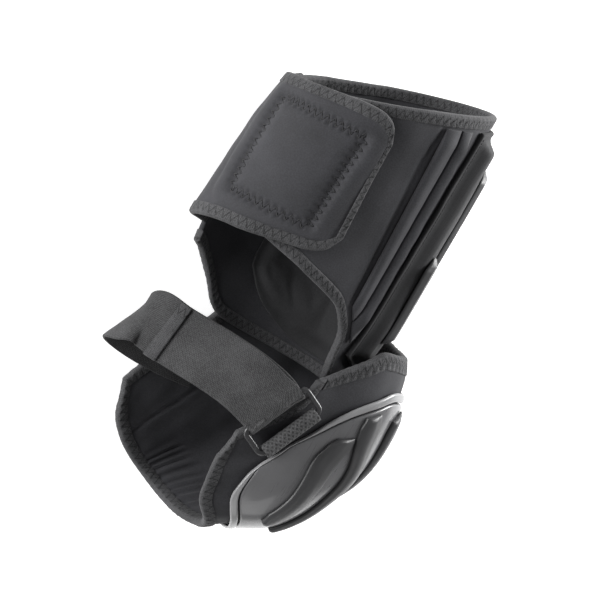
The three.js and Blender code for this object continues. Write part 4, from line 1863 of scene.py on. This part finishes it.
@dataclass(frozen=True)
class Padding:
    """The back pad with its ribs, the two side rolls and the lined inner pad.

    Attributes:
        cuff: The cuff that carries them.
        pad: Thickness of the back pad.
        pad_edge: Its thickness along its edge.
        edge_width: Width of its edge.
        seam_inset: Distance of its seam from the edge.
        rib: Height of its ribs.
        roll: Height of the rolls.
        inner: Thickness of the inner pad.
        air: How the pads are swollen.
    """

    cuff: Cuff
    pad: float = 9.5
    pad_edge: float = 3
    edge_width: float = 8
    seam_inset: float = 3.4
    rib: float = 4
    roll: float = 5.5
    inner: float = 5
    air: Inflation = Inflation()

    ribs = (
        PadRib("pad_rib_spine_near", 0.92, 0.19, 15, 2, 9, 0.08),
        PadRib("pad_rib_spine_far", 0.92, 0.19, -15, -2, 9, 0.08),
        PadRib("pad_rib_side_near", 0.56, 0.19, 36, 3, 6.5, 0.2),
        PadRib("pad_rib_side_far", 0.56, 0.19, -36, -3, 6.5, 0.2),
    )
    rolls = (
        Roll("side_roll_front", (68.5, 78.5), (67, 73)),
        Roll("side_roll_rear", (59, 67.5), (57, 66)),
    )

    def mound(self, spot: Spot, edge: float, full: float) -> Array:
        """Gives a pad's height, thin along its sewn edge.

        Args:
            spot: The points.
            edge: Height along the edge.
            full: Height inside.

        Returns:
            The heights.
        """
        rise = smooth((np.minimum(spot.side, spot.end) - self.edge_width * 0.55) / (self.edge_width * 0.9))
        return edge + (full - edge) * rise

    def under_tape(self, turn: Array) -> Array:
        """Gives the runs just under the cuff's upper tape."""
        sewing = self.cuff.shop.sewing
        return self.cuff.top(turn, sewing.tape + sewing.seam + sewing.layer)[1]

    def build(self) -> None:
        """Builds all the pads."""
        self.build_back_pad()
        self.build_ribs()
        self.build_rolls()
        self.build_inner_pad()

    def build_back_pad(self) -> None:
        """Builds the pad over the back of the cuff, with its edge seam."""
        shop = self.cuff.shop
        layer = shop.sewing.layer
        lower = Edge(
            ((-48, 0.08), (-24, 0.03), (0, 0.02), (26, 0.03), (53, 0.09)), shop.arm.cuff_height
        )
        patch = Patch(shop.cuff, lambda u: (100 * u - 50, self.under_tape(100 * u - 50)), lower)

        def outer(spot: Spot) -> Array:
            """Gives the pad's outer height with its edge seam.

            Args:
                spot: The points.

            Returns:
                The heights.
            """
            edge = np.minimum(spot.side, spot.end)
            groove = -dent(edge - self.seam_inset, 0.7, 0.7)
            full = self.mound(spot, self.pad_edge + layer, self.pad + layer)
            return full + groove + ripple(spot, 30.0, 0.2, 7.0)

        pad = shop.bench.cushion("back_pad", patch, level(layer), outer, 1.7, sewn=9.0)
        self.air.swell(pad)
        shop.dresser.dress(pad, Finish.SKIN, "foam_skin", "back_pad")
        wide, tall = patch.wide(), float(patch.tall(np.array([0.5]))[0])
        side, end = self.seam_inset / wide, self.seam_inset / tall
        down = np.linspace(end, 1 - end, 2 * int(tall / 4.4))
        for word, across in (("near", 1 - side), ("far", side)):
            row = shop.bench.stitches(
                f"back_pad_seam_{word}", patch, pairs(across, down), level(self.pad_edge + layer), 0.55, 0.5
            )
            shop.dresser.dress(row, Finish.THREAD, "binding_tape")

    def build_ribs(self) -> None:
        """Builds the bevelled ribs of the back pad."""
        shop = self.cuff.shop
        height = shop.arm.cuff_height
        base = self.pad + shop.sewing.layer * 2

        def outer(spot: Spot) -> Array:
            """Gives a rib's outer height with its bevels."""
            end = np.minimum(1, 0.3 + spot.end / 4.0)
            return base + self.rib * end * np.minimum(1, 0.3 + spot.side / 6.0)

        for rib in self.ribs:

            def side(sign: float, rib: PadRib = rib) -> Callable[[Array], Place]:
                """Draws a side of the rib.

                Args:
                    sign: -1 for one side and 1 for the other.
                    rib: The rib.

                Returns:
                    The side's places for shares from the top.
                """

                def line(u: Array) -> Place:
                    """Gives places on the rib's side.

                    Args:
                        u: Shares from the top to the foot.

                    Returns:
                        Their turns and their runs.
                    """
                    width = np.minimum(1, u / rib.point + 0.25)
                    turn = rib.turn - rib.lean * u + sign * rib.half * width
                    return turn, height * (rib.top + (rib.low - rib.top) * u)

                return line

            body = shop.bench.cushion(
                rib.name,
                Patch(shop.cuff, side(-1), side(1)),
                level(base),
                outer,
                1.1,
                Rims.even(0.7),
            )
            shop.bench.crease(body)
            shop.dresser.dress(body, Finish.RUBBER, "rib_rubber", rib.name)

    def build_rolls(self) -> None:
        """Builds the two soft rolls and the seam between them."""
        shop = self.cuff.shop
        height = shop.arm.cuff_height
        layer = shop.sewing.layer
        for roll in self.rolls:

            def side(k: int, roll: Roll = roll) -> Callable[[Array], Place]:
                """Draws a side of the roll.

                Args:
                    k: 0 for one side and 1 for the other.
                    roll: The roll.

                Returns:
                    The side's places for shares from the top.
                """

                def line(u: Array) -> Place:
                    """Gives places on the roll's side.

                    Args:
                        u: Shares from the top to the foot.

                    Returns:
                        Their turns and their runs.
                    """
                    turn = roll.upper[k] + (roll.lower[k] - roll.upper[k]) * u
                    foot = height * (0.14 + 0.0085 * (turn - 57))
                    head = self.under_tape(turn)
                    return turn, head + (foot - head) * u

                return line

            def outer(spot: Spot) -> Array:
                """Gives the roll's outer height.

                Args:
                    spot: The points.

                Returns:
                    The heights.
                """
                bow = np.sqrt(np.maximum(0, 1 - (2 * spot.v - 1) ** 2))
                ends = smooth(spot.u * 8 + 0.3) * smooth((1 - spot.u) * 8 + 0.3)
                return layer + 0.8 + self.roll * bow * ends + ripple(spot, 21.0, 0.2, 2.0) * bow

            body = shop.bench.cushion(
                roll.name,
                Patch(shop.cuff, side(0), side(1)),
                level(layer),
                outer,
                1.1,
                Rims.even(0.4),
                1.2,
            )
            self.air.swell(body)
            shop.dresser.dress(body, Finish.NEOPRENE, "neoprene", roll.name)
        ridge = ((68.3, 154.0), (68.0, 120.0), (67.3, 80.0), (66.6, 42.0))
        shop.seam("roll_seam", Sheet(shop.cuff), ridge, level(1.3))

    def build_inner_pad(self) -> None:
        """Builds the lined pad inside the back of the cuff."""
        shop = self.cuff.shop
        lower = Edge(
            (
                (-93, 0.15), (-84, 0.075), (-69, 0.02), (-44, -0.022), (0, -0.025), (36, -0.015),
                (46, 0.05),
            ),
            shop.arm.cuff_height,
        )
        patch = Patch(shop.cuff, lambda u: self.cuff.top(140 * u - 92, 16), lower)
        base = -shop.sewing.sleeve - 2 * shop.sewing.layer

        def outer(spot: Spot) -> Array:
            """Gives the height of the side that lies on the arm."""
            return base - self.mound(spot, 1.4, self.inner) + ripple(spot, 35.0, 0.25, 4.0)

        pad = shop.bench.cushion("inner_pad", patch, level(base), outer, 2.0, Rims.even(0.7), 6.0)
        self.air.swell(pad)
        shop.dresser.dress(pad, Finish.LINING, "lining", "inner_pad")


# The elbow cup


@dataclass(frozen=True)
class Cup:
    """The cup round the elbow with its collar and rim tapes.

    Attributes:
        shop: The shared workshop.
        collar: Share of the cup's columns where the collar tape starts.
        seam_turn: Turn of the seam in its lining.
        gathered: Turns between which the lining is gathered at the rim.
        gather_run: Run where the gathers start.
        gather: Height of the gathers.
    """

    shop: Workshop
    collar: float = 10 / 34
    seam_turn: float = -128
    gathered: tuple[float, float] = (-96, -2)
    gather_run: float = 68
    gather: float = 0.75

    def patch(self) -> Patch:
        """Gives the patch of the cup.

        Returns:
            The patch from the collar to the forearm edge.
        """
        length = self.shop.arm.cup_length
        upper = Edge(
            (
                (-166, -0.02), (-140, -0.1), (-115, -0.22), (-90, -0.38), (-70, -0.5), (-45, -0.63),
                (-20, -0.69), (0, -0.7), (20, -0.69), (45, -0.65), (69, -0.57), (85, -0.46),
                (105, -0.306), (128, -0.11),
            ),
            length,
        )
        lower = Edge(
            (
                (-180, 0.78), (-157, 0.94), (-129, 1.005), (-99, 1.03), (-61, 1.035), (-34, 1.03),
                (-8, 1.01), (20, 0.96), (60, 0.9), (96, 0.85), (118, 0.75), (134, 0.65),
                (144, 0.55), (148, 0.43),
            ),
            length,
        )
        return Patch(self.shop.cup, upper, lower)

    def lining(self, spot: Spot) -> Array:
        """Gives the height of the inner side, with a sewn line and gathers by the far rim.

        Args:
            spot: The points.

        Returns:
            The heights.
        """
        line = self.seam_turn + 0.05 * (spot.run - 50)
        seam = dent((spot.turn - line) * 0.8, 1.1, 1.1) * smooth((spot.run - 38) / 8)
        first, last = self.gathered
        rim = smooth((last - spot.turn) / 14) * smooth((spot.turn - first) / 14)
        rim *= smooth((spot.run - self.gather_run) / 12)
        folds = np.sin(spot.turn * 0.66 + 1.1 * np.sin(spot.turn * 0.17))
        folds += 0.4 * np.sin(spot.turn * 1.21)
        swell = self.gather * folds * rim
        return seam - self.shop.sewing.cup + swell + ripple(spot, 32.0, 0.25, 6.0)

    def build(self) -> None:
        """Builds the cup and its two tapes."""
        shop = self.shop
        sewing = shop.sewing
        patch = self.patch()
        wide = patch.wide()
        margin = sewing.tape / wide
        seam = sewing.seam / wide
        first, last = margin + seam, 1 - margin - seam
        collar = first + (last - first) * self.collar
        hidden = sewing.tape - sewing.tuck
        cup = shop.bench.cushion(
            "elbow_cup",
            Trimmed(patch, lambda u: hidden * smooth((u - collar) / 0.02 + 1), hidden, hidden, hidden),
            self.lining,
            lambda spot: ripple(spot, 32.0, 0.25, 6.0),
            1.7,
        )
        shop.dresser.dress(cup, Finish.NEOPRENE, "neoprene", "elbow_cup")

        wall = level(-sewing.cup)
        u = np.linspace(collar, last, 160)
        strip = Strip(patch, pairs(u, 0.0), pairs(u, insets(patch, u, sewing.tape)))
        shop.bind("collar_binding", strip, wall, level(0), True)

        near, far = (float(insets(patch, np.array([share]), sewing.tape)[0]) for share in (0.95, 0.05))
        near_down = np.linspace(0, 1 - near * 1.6, 40)
        far_down = np.linspace(1 - far * 1.6, 0, 40)
        u = np.linspace(last - 0.03, first + 0.03, 160)
        inset = insets(patch, u, sewing.tape)
        edge = np.vstack([pairs(1.0, near_down), [[1, 1]], pairs(u, 1.0), [[0, 1]], pairs(0.0, far_down)])
        inner = np.vstack(
            [
                pairs(1 - margin, near_down),
                [[1 - margin, 1 - near]],
                pairs(u, 1 - inset),
                [[margin, 1 - far]],
                pairs(margin, far_down),
            ]
        )
        shop.bind("cup_rim_binding", Strip(patch, edge, inner), wall, level(0), True)


# The hard shell


@dataclass(frozen=True)
class Shell:
    """The moulded shell over the elbow, its rim strip and its wave-shaped ribs.

    Attributes:
        shop: The shared workshop.
        rim: Width of the rim strip.
        groove: Gap between the strip and the shell.
        rib: Height of the ribs.
        rib_width: Their width.
        rib_gap: Gap between the shell and its ribs.
        far_spread: How much closer the far ribs stand, as a share.
    """

    shop: Workshop
    rim: float = 4.6
    groove: float = 0.9
    rib: float = 2.8
    rib_width: float = 15
    rib_gap: float = 0.8
    far_spread: float = 0.775

    ribs = {
        "outer": ((87, -0.07), (88, 0.1), (79, 0.25), (70, 0.4), (62, 0.6)),
        "middle": ((74, -0.28), (70, -0.13), (60, 0.0), (50, 0.15), (40, 0.35), (33, 0.58)),
        "inner": ((44, -0.4), (38, -0.2), (24, 0.0), (17, 0.2), (14, 0.5)),
    }

    def patch(self) -> Patch:
        """Gives the patch of the shell's whole outline.

        Returns:
            The patch, rim strip included.
        """
        length = self.shop.arm.cup_length
        upper = ((0, -0.54), (28, -0.53), (54, -0.476), (74, -0.35), (92, -0.19), (108, 0.016), (115, 0.25))
        lower = ((0, 0.81), (25, 0.8), (60, 0.765), (95, 0.685), (112, 0.545), (116, 0.42))
        edges = []
        for rows in (upper, lower):
            far = tuple((-turn, share) for turn, share in rows[:0:-1])
            edges.append(Edge(far + rows, length))
        return Patch(self.shop.cup, edges[0], edges[1])

    def build(self) -> None:
        """Builds the shell, its rim strip and its ribs."""
        shop = self.shop
        arm = shop.arm
        patch = self.patch()
        inset = self.rim + self.groove
        top = arm.shell_lift + arm.shell_wall
        shell = shop.bench.cushion(
            "hard_shell",
            Trimmed(patch, inset, inset, inset, inset),
            level(arm.shell_lift),
            lambda spot: top - dent(np.minimum(spot.side, spot.end), 0.5, 5.0),
            1.6,
            Rims.even(1.3),
        )
        shop.dresser.dress(shell, Finish.SHELL, "shell_plastic", "hard_shell")

        wide = patch.wide()
        side = self.rim / wide
        u = np.linspace(inset / wide, 1 - inset / wide, 160)[1:-1]
        down = insets(patch, u, self.rim)
        end = float(insets(patch, np.array([side]), self.rim)[0])
        v = np.linspace(end * 1.3, 1 - end * 1.3, 20)
        edge = np.vstack(
            [
                [[0, 0]],
                pairs(u, 0.0),
                [[1, 0]],
                pairs(1.0, v),
                [[1, 1]],
                pairs(u[::-1], 1.0),
                [[0, 1]],
                pairs(0.0, v[::-1]),
            ]
        )
        inner = np.vstack(
            [
                [[side, end]],
                pairs(u, down),
                [[1 - side, end]],
                pairs(1 - side, v),
                [[1 - side, 1 - end]],
                pairs(u[::-1], 1 - down[::-1]),
                [[side, 1 - end]],
                pairs(side, v[::-1]),
            ]
        )
        strip = Strip(patch, edge, inner, closed=True)
        rim = shop.bench.cushion(
            "shell_rim",
            strip,
            level(arm.shell_lift),
            level(arm.shell_lift + arm.shell_wall * 0.8),
            1.0,
            Rims(0, 0, 1.5, 1.5),
        )
        shop.dresser.dress(rim, Finish.RIM, "rim_plastic", "shell_rim")
        for word, sign in (("near", 1.0), ("far", -self.far_spread)):
            for name, rows in self.ribs.items():
                self.build_rib(f"shell_rib_{name}_{word}", rows, sign, top + self.rib_gap)

    def build_rib(self, name: str, rows: Sequence[tuple[float, float]], sign: float, base: float) -> None:
        """Builds a wave-shaped rib with a crest.

        Args:
            name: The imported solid's name.
            rows: Turns and shares of its middle line.
            sign: 1 on the near side, and minus the spread on the far side.
            base: Height of its foot.
        """
        shop = self.shop
        arm = shop.arm
        middle = Edge([(sign * turn, share) for turn, share in rows], arm.cup_length)
        half = self.rib_width / 2 / math.radians(arm.cup_depth)

        def side(direction: float) -> Callable[[Array], Place]:
            """Draws a side of the rib.

            Args:
                direction: -1 for one side and 1 for the other.

            Returns:
                The side's places for shares along it.
            """

            def line(u: Array) -> Place:
                """Gives places on the rib's side.

                Args:
                    u: Shares along it.

                Returns:
                    Their turns and their runs.
                """
                turn, run = middle(u)
                width = np.minimum(1, np.minimum(0.7 + u * 4, 0.5 + (1 - u) * 6))
                return turn + direction * half * width, run + direction * sign * half * 0.5 * (1 - u)

            return line

        def outer(spot: Spot) -> Array:
            """Gives the rib's outer height with its crest.

            Args:
                spot: The points.

            Returns:
                The heights.
            """
            front = spot.v if sign > 0 else 1 - spot.v
            crest = np.minimum(1, np.minimum(0.35 + 1.3 * front, 0.3 + 3.6 * (1 - front)))
            return base + self.rib * crest * np.minimum(1, 0.55 + spot.side / 4.0)

        patch = Patch(shop.cup, side(-1), side(1))
        foot = level(base - self.rib_gap - 0.2)
        rib = shop.bench.cushion(name, patch, foot, outer, 0.9, Rims.even(0.6))
        shop.bench.crease(rib)
        shop.dresser.dress(rib, Finish.RUBBER, "rib_rubber", name)


# The strap and its ring


@dataclass(frozen=True)
class Strap:
    """The strap, its slot ring, the anchor webbing and the end tab.

    Attributes:
        shop: The shared workshop.
        width: Width of strap and webbing.
        thickness: Their thickness.
        reach: How far the strap reaches to the front.
        drop: How far it lies under the cuff.
        bow: How far its climb bows out.
        bar: Thickness of the ring's bars.
        slot: Width of the ring's slot.
        room: Clearance of the strap at the slot's ends.
        turn_room: Clearance of the strap round a bar.
        tilt: Tilt of the ring, in degrees.
        ring_front: How far the ring lies behind the arm's axis.
        ring_lift: How far it lies over the cup.
        webbing: Length of the anchor webbing.
        tail: Share of the climb where the strap ends.
        tab: Length of the end tab.
    """

    shop: Workshop
    width: float = 38
    thickness: float = 1.8
    reach: float = 67
    drop: float = 33
    bow: float = 3
    bar: float = 3.5
    slot: float = 14
    room: float = 1
    turn_room: float = 0.8
    tilt: float = 12
    ring_front: float = 11.4
    ring_lift: float = 4.6
    webbing: float = 15.5
    tail: float = 0.12
    tab: float = 8

    @staticmethod
    def ring_height(arm: ArmSizes, sewing: Sewing, lift: float) -> float:
        """Gives the height of the ring's middle over the table."""
        return arm.height + arm.cup_near + sewing.proud + sewing.layer + lift

    @property
    def middle(self) -> Array:
        """Middle of the ring."""
        height = self.ring_height(self.shop.arm, self.shop.sewing, self.ring_lift)
        return np.array([self.ring_front, -self.drop, height])

    @property
    def pull(self) -> Array:
        """Direction of the strap's pull, from the rear bar to the front bar."""
        tilt = math.radians(self.tilt)
        return -math.cos(tilt) * self.shop.arm.back + np.array([0, 0, -math.sin(tilt)])

    @property
    def out(self) -> Array:
        """Direction out of the ring's plane, upwards."""
        out = np.cross(self.shop.arm.forearm, self.pull)
        return out * np.sign(out[2])

    def round_bar(self, bar: Array, along: Array, out: Array, angles: Sequence[float]) -> Array:
        """Gives points round a bar.

        Args:
            bar: The bar's middle.
            along: The direction of angle 0.
            out: The direction of 90 degrees.
            angles: The angles.

        Returns:
            The points.
        """
        radius = self.bar / 2 + self.turn_room + self.thickness / 2
        turn = np.radians(np.asarray(angles))[:, None]
        return bar + radius * (np.cos(turn) * along + np.sin(turn) * out)

    def build(self) -> None:
        """Builds the ring, the webbing, the strap and the tab."""
        self.build_ring()
        self.build_webbing()
        self.build_strap()

    def build_ring(self) -> None:
        """Builds the ring from a torus drawn out to a rounded slot."""
        bpy.ops.object.select_all(action="DESELECT")
        bpy.ops.mesh.primitive_torus_add(
            major_segments=128, minor_segments=20, major_radius=1, minor_radius=0.25
        )
        ring = bpy.context.object
        ring.name = ring.data.name = "slot_ring"
        mesh = ring.data
        raw = points_of(mesh)
        share = np.mod(np.arctan2(raw[:, 1], raw[:, 0]) / (2 * math.pi), 1)
        around = np.arctan2(raw[:, 2], np.hypot(raw[:, 0], raw[:, 1]) - 1)
        long = self.width / 2 + self.room + self.bar / 2
        short = self.slot / 2 + self.bar / 2
        radius = 3.4
        corners = []
        for x, y, start in ((1, 1, 0), (-1, 1, 90), (-1, -1, 180), (1, -1, 270)):
            turn = np.radians(np.linspace(start, start + 90, 16))
            centre = np.array([x * (long - radius), y * (short - radius)])
            corners.append(centre + radius * np.stack([np.cos(turn), np.sin(turn)], axis=-1))
        line = np.vstack(corners + [corners[0][:1]])
        steps = np.linalg.norm(np.diff(line, axis=0), axis=1)
        shares = np.concatenate([[0.0], np.cumsum(steps)]) / steps.sum()
        place = np.stack([np.interp(share, shares, line[:, k]) for k in (0, 1)], axis=-1)
        ahead = np.stack([np.interp(np.mod(share + 0.004, 1), shares, line[:, k]) for k in (0, 1)], axis=-1)
        tangent = ahead - place
        tangent /= np.linalg.norm(tangent, axis=1, keepdims=True)
        c, s = np.cos(around), np.sin(around)
        full = self.bar / 2 / (np.abs(c) ** 3.4 + np.abs(s) ** 3.4) ** (1 / 3.4)
        flat = place + np.stack([tangent[:, 1], -tangent[:, 0]], axis=-1) * (full * c)[:, None]
        points = (
            self.middle
            + flat[:, 0:1] * self.shop.arm.forearm
            + flat[:, 1:2] * self.pull
            + (full * s)[:, None] * self.out
        )
        mesh.vertices.foreach_set("co", self.shop.bench.metres(points).ravel())
        mesh.update()
        self.shop.bench.close(ring)
        self.shop.dresser.dress(ring, Finish.RING, "ring_plastic", "slot_ring")

    def build_webbing(self) -> None:
        """Builds the webbing that holds the ring's rear bar."""
        shop = self.shop
        arm = shop.arm
        low = shop.sewing.layer + self.thickness / 2
        high = low + self.thickness + shop.sewing.layer
        end = self.middle + arm.back * self.webbing

        def sewn(height: float, back: float) -> Array:
            """Gives a point of the webbing's sewn end."""
            return np.array([end[0], end[1], arm.height + arm.cup_near + height]) - arm.back * back

        bar = self.middle - self.pull * (self.slot + self.bar) / 2
        turn = self.round_bar(bar, self.pull, self.out, np.linspace(-95, 150, 9))
        points = np.vstack([sewn(low, 0), sewn(low, self.webbing * 0.25), turn, sewn(high, 0)])
        ribbon = Ribbon(points, arm.forearm, self.width)
        half = self.thickness / 2
        body = shop.bench.cushion("anchor_webbing", ribbon, level(-half), level(half), 1.0, Rims.even(0.8))
        shop.dresser.dress(body, Finish.ANCHOR, "elastic", "anchor_webbing")

    def build_strap(self) -> None:
        """Builds the strap from the far rim round the front, through the ring and back, and its tab."""
        shop = self.shop
        arm = shop.arm
        sewing = shop.sewing
        rows = (
            (0, 1.25, 0), (0.35, 1.25, 0), (0.68, 1.18, 0.04), (0.89, 1.08, 0.15), (0.99, 0.97, 0.34),
            (1, 0.86, 0.54), (0.93, 0.7, 0.76),
        )
        foot = arm.height - arm.cup_far + sewing.cup + sewing.proud + sewing.layer + self.thickness / 2
        loop = np.array(
            [
                (-self.reach * front, -self.drop * drop, foot + (arm.height - foot) * up)
                for front, drop, up in rows
            ]
        )
        down = np.array([0.0, -1.0, 0.0])
        bar = self.middle + self.pull * (self.slot + self.bar) / 2
        climb = bar - loop[-1]
        swing = (climb @ arm.forearm) / (down @ arm.forearm)
        outward = np.cross(climb, down)
        outward *= np.sign(outward[2]) / np.linalg.norm(outward)
        radius = self.bar / 2 + self.turn_room + self.thickness / 2
        step = self.thickness + sewing.layer

        def climbing(at: float, lift: float) -> Array:
            """Gives a point of the strap's climb from the loop to the ring."""
            bowed = outward * (self.bow * math.sin(math.pi * at) + lift)
            return loop[-1] + climb * at + bowed + down * (swing * at * at * (1 - at))

        arrival = bar - climbing(0.9, 0)
        arrival -= arm.forearm * (arrival @ arm.forearm)
        arrival /= np.linalg.norm(arrival)
        bar_out = np.cross(arrival, arm.forearm)
        bar_out *= np.sign(bar_out[2])
        turn = self.round_bar(bar, arrival, bar_out, np.linspace(-85, 85, 7))
        shares = np.array([0.17, 0.34, 0.51, 0.68, 0.82, 0.93])
        inner = [climbing(at, float(-radius * smooth((at - 0.68) / 0.28))) for at in shares]
        outer = [
            climbing(at, float(step + (radius - step) * smooth((at - 0.55) / 0.4))) for at in shares[::-1]
        ]
        points = np.vstack([loop, inner, turn, outer, climbing(self.tail, step)])
        ribbon = Ribbon(points, arm.forearm, self.width, 1200)
        half = self.thickness / 2

        def wave(spot: Spot) -> Array:
            """Gives the strap's half thickness with its woven edges.

            Args:
                spot: The points.

            Returns:
                The heights.
            """
            edge = np.minimum(spot.v, 1 - spot.v) * self.width
            return half - dent(edge - 1.6, 0.18, 0.5) + ripple(spot, 19.0, 0.1, 8.0)

        strap = shop.bench.cushion(
            "strap", ribbon, lambda spot: -wave(spot), wave, 1.1, Rims.even(0.8)
        )
        shop.dresser.dress(strap, Finish.STRAP, "elastic", "strap")

        lift = step + self.thickness * 0.75 + sewing.layer
        far = self.tail + self.tab / float(np.linalg.norm(climb))
        ends = np.array([climbing(self.tail + (far - self.tail) * t, lift) for t in np.linspace(0, 1, 5)])
        hem = Ribbon(ends, arm.forearm, self.width)
        tab = shop.bench.cushion(
            "strap_end_tab",
            hem,
            level(-self.thickness / 2 - 0.3),
            level(self.thickness / 4),
            0.8,
            Rims.even(0.4),
        )
        shop.dresser.dress(tab, Finish.TAPE, "binding_tape", "strap_end_tab")
        across = np.linspace(0.03, 0.97, 30)
        up = float(np.sign(hem.up[0] @ outward))
        for k, share in enumerate((0.25, 0.75)):
            swing_by = 0.1 * (1 - 2 * np.mod(np.arange(len(across)), 2))
            row = shop.bench.stitches(
                f"strap_tab_seam_{k + 1}",
                hem,
                pairs(share + swing_by, across),
                level(up * (self.thickness / 4 + 0.1)),
                0.55,
                0.1,
            )
            shop.dresser.dress(row, Finish.THREAD, "binding_tape")


# The studio


@dataclass(frozen=True)
class Lamp:
    """A soft square light that looks at the object.

    Attributes:
        name: The light's name.
        toward: Its direction in camera right, up and back.
        size: Its width in metres.
        power: Its power in watts.
    """

    name: str
    toward: tuple[float, float, float]
    size: float
    power: float


@dataclass(frozen=True)
class Studio:
    """The floor, the lights and the camera.

    Attributes:
        bench: Puts arm-frame points in place.
        dresser: Holds the floor's finish.
        right: The camera's right, in the arm frame.
        up: The camera's up.
        back: The direction from the object to the camera.
        middle: The arm-frame point that the photograph's middle shows, in millimetres.
        framing: How far the view is moved right and up from it.
        distance: The camera's distance, in metres.
        lens: The camera's lens, in millimetres on a 36 mm sensor.
        air: Strength of the light from all round.
        lamp_distance: The lights' distance, in metres.
        floor: The floor's width, in metres.
        floor_drop: How far it lies under the object, in metres.
    """

    bench: Bench
    dresser: Dresser
    right: tuple[float, float, float] = (0.7841, 0.4955, 0.3738)
    up: tuple[float, float, float] = (-0.3660, 0.8555, -0.3663)
    back: tuple[float, float, float] = (-0.5013, 0.1504, 0.8521)
    middle: tuple[float, float, float] = (20.0, 25.0, 50.0)
    framing: tuple[float, float] = (-4.2, 3.0)
    distance: float = 1.3
    lens: float = 130.0
    air: float = 0.34
    lamp_distance: float = 1.4
    floor: float = 8.0
    floor_drop: float = 0.0005

    lamps = (
        Lamp("left_light", (-1.0, 0.45, 0.62), 1.2, 56.0),
        Lamp("right_light", (1.0, 0.15, -0.05), 0.8, 36.0),
        Lamp("low_light", (0.1, -1.0, 0.15), 0.8, 3.0),
    )

    def aim(self) -> Vector:
        """Gives the point that the camera looks at.

        Returns:
            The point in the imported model, in metres.
        """
        point = (
            np.array(self.middle)
            + np.array(self.right) * self.framing[0]
            + np.array(self.up) * self.framing[1]
        )
        return Vector(self.bench.metres(point))

    def build(self) -> None:
        """Lays the floor and sets the lights and the camera."""
        bpy.ops.object.select_all(action="DESELECT")
        bpy.ops.mesh.primitive_plane_add(size=self.floor, location=(0, 0, 0))
        floor = bpy.context.object
        floor.name = floor.data.name = "studio_floor"
        for vertex in floor.data.vertices:
            vertex.co.z = -self.floor_drop
        floor.data.materials.append(self.dresser.materials[Finish.FLOOR])

        turn = Matrix((self.right, self.up, self.back)).transposed()
        data = bpy.data.cameras.new("photo_view")
        data.sensor_width = 36
        data.lens = self.lens
        data.clip_end = 20
        data.dof.use_dof = False
        camera = bpy.data.objects.new("photo_view", data)
        place = self.aim() + Vector(self.back) * self.distance
        camera.matrix_world = Matrix.Translation(place) @ turn.to_4x4()
        bpy.context.scene.collection.objects.link(camera)
        bpy.context.scene.camera = camera

        world = bpy.data.worlds.new("studio_air")
        world.use_nodes = True
        air = world.node_tree.nodes["Background"]
        air.inputs["Color"].default_value = (1, 1, 1, 1)
        air.inputs["Strength"].default_value = self.air
        bpy.context.scene.world = world
        for lamp in self.lamps:
            self.light(lamp)
        bpy.context.scene.view_settings.view_transform = "Standard"

    def light(self, lamp: Lamp) -> None:
        """Adds a light.

        Args:
            lamp: The light's place and power.
        """
        data = bpy.data.lights.new(lamp.name, "AREA")
        data.shape = "SQUARE"
        data.size = lamp.size
        data.energy = lamp.power
        body = bpy.data.objects.new(lamp.name, data)
        axes = np.array([self.right, self.up, self.back])
        way = Vector(np.array(lamp.toward) @ axes)
        way.normalize()
        turn = way.to_track_quat("Z", "Y").to_matrix().to_4x4()
        body.matrix_world = Matrix.Translation(self.aim() + way * self.lamp_distance) @ turn
        bpy.context.scene.collection.objects.link(body)


def packed_shift(arm: ArmSizes, sewing: Sewing) -> Array:
    """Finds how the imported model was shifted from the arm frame, from its ring.

    Args:
        arm: Sizes that place the guard.
        sewing: Sizes of cloth and tape.

    Returns:
        The shift in millimetres.
    """
    low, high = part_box("slot_ring")
    height = Strap.ring_height(arm, sewing, Strap.ring_lift)
    middle = np.array([Strap.ring_front, -Strap.drop, height])
    return np.array((low + high) / 2) / MM - middle


def main() -> None:
    """Builds every sub-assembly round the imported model, then the studio."""
    logging.basicConfig(level=logging.INFO, format="%(name)s: %(message)s", stream=sys.stdout)
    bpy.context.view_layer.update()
    arm = ArmSizes()
    sewing = Sewing()
    bench = Bench(packed_shift(arm, sewing))
    dresser = Dresser()
    shop = Workshop(arm, bench, dresser, sewing)
    cuff = Cuff(shop)
    worn = (cuff, Flap(cuff), Padding(cuff), Cup(shop), Shell(shop), Strap(shop))
    for assembly in (*worn, Studio(bench, dresser)):
        assembly.build()


if __name__ == "__main__":
    main()
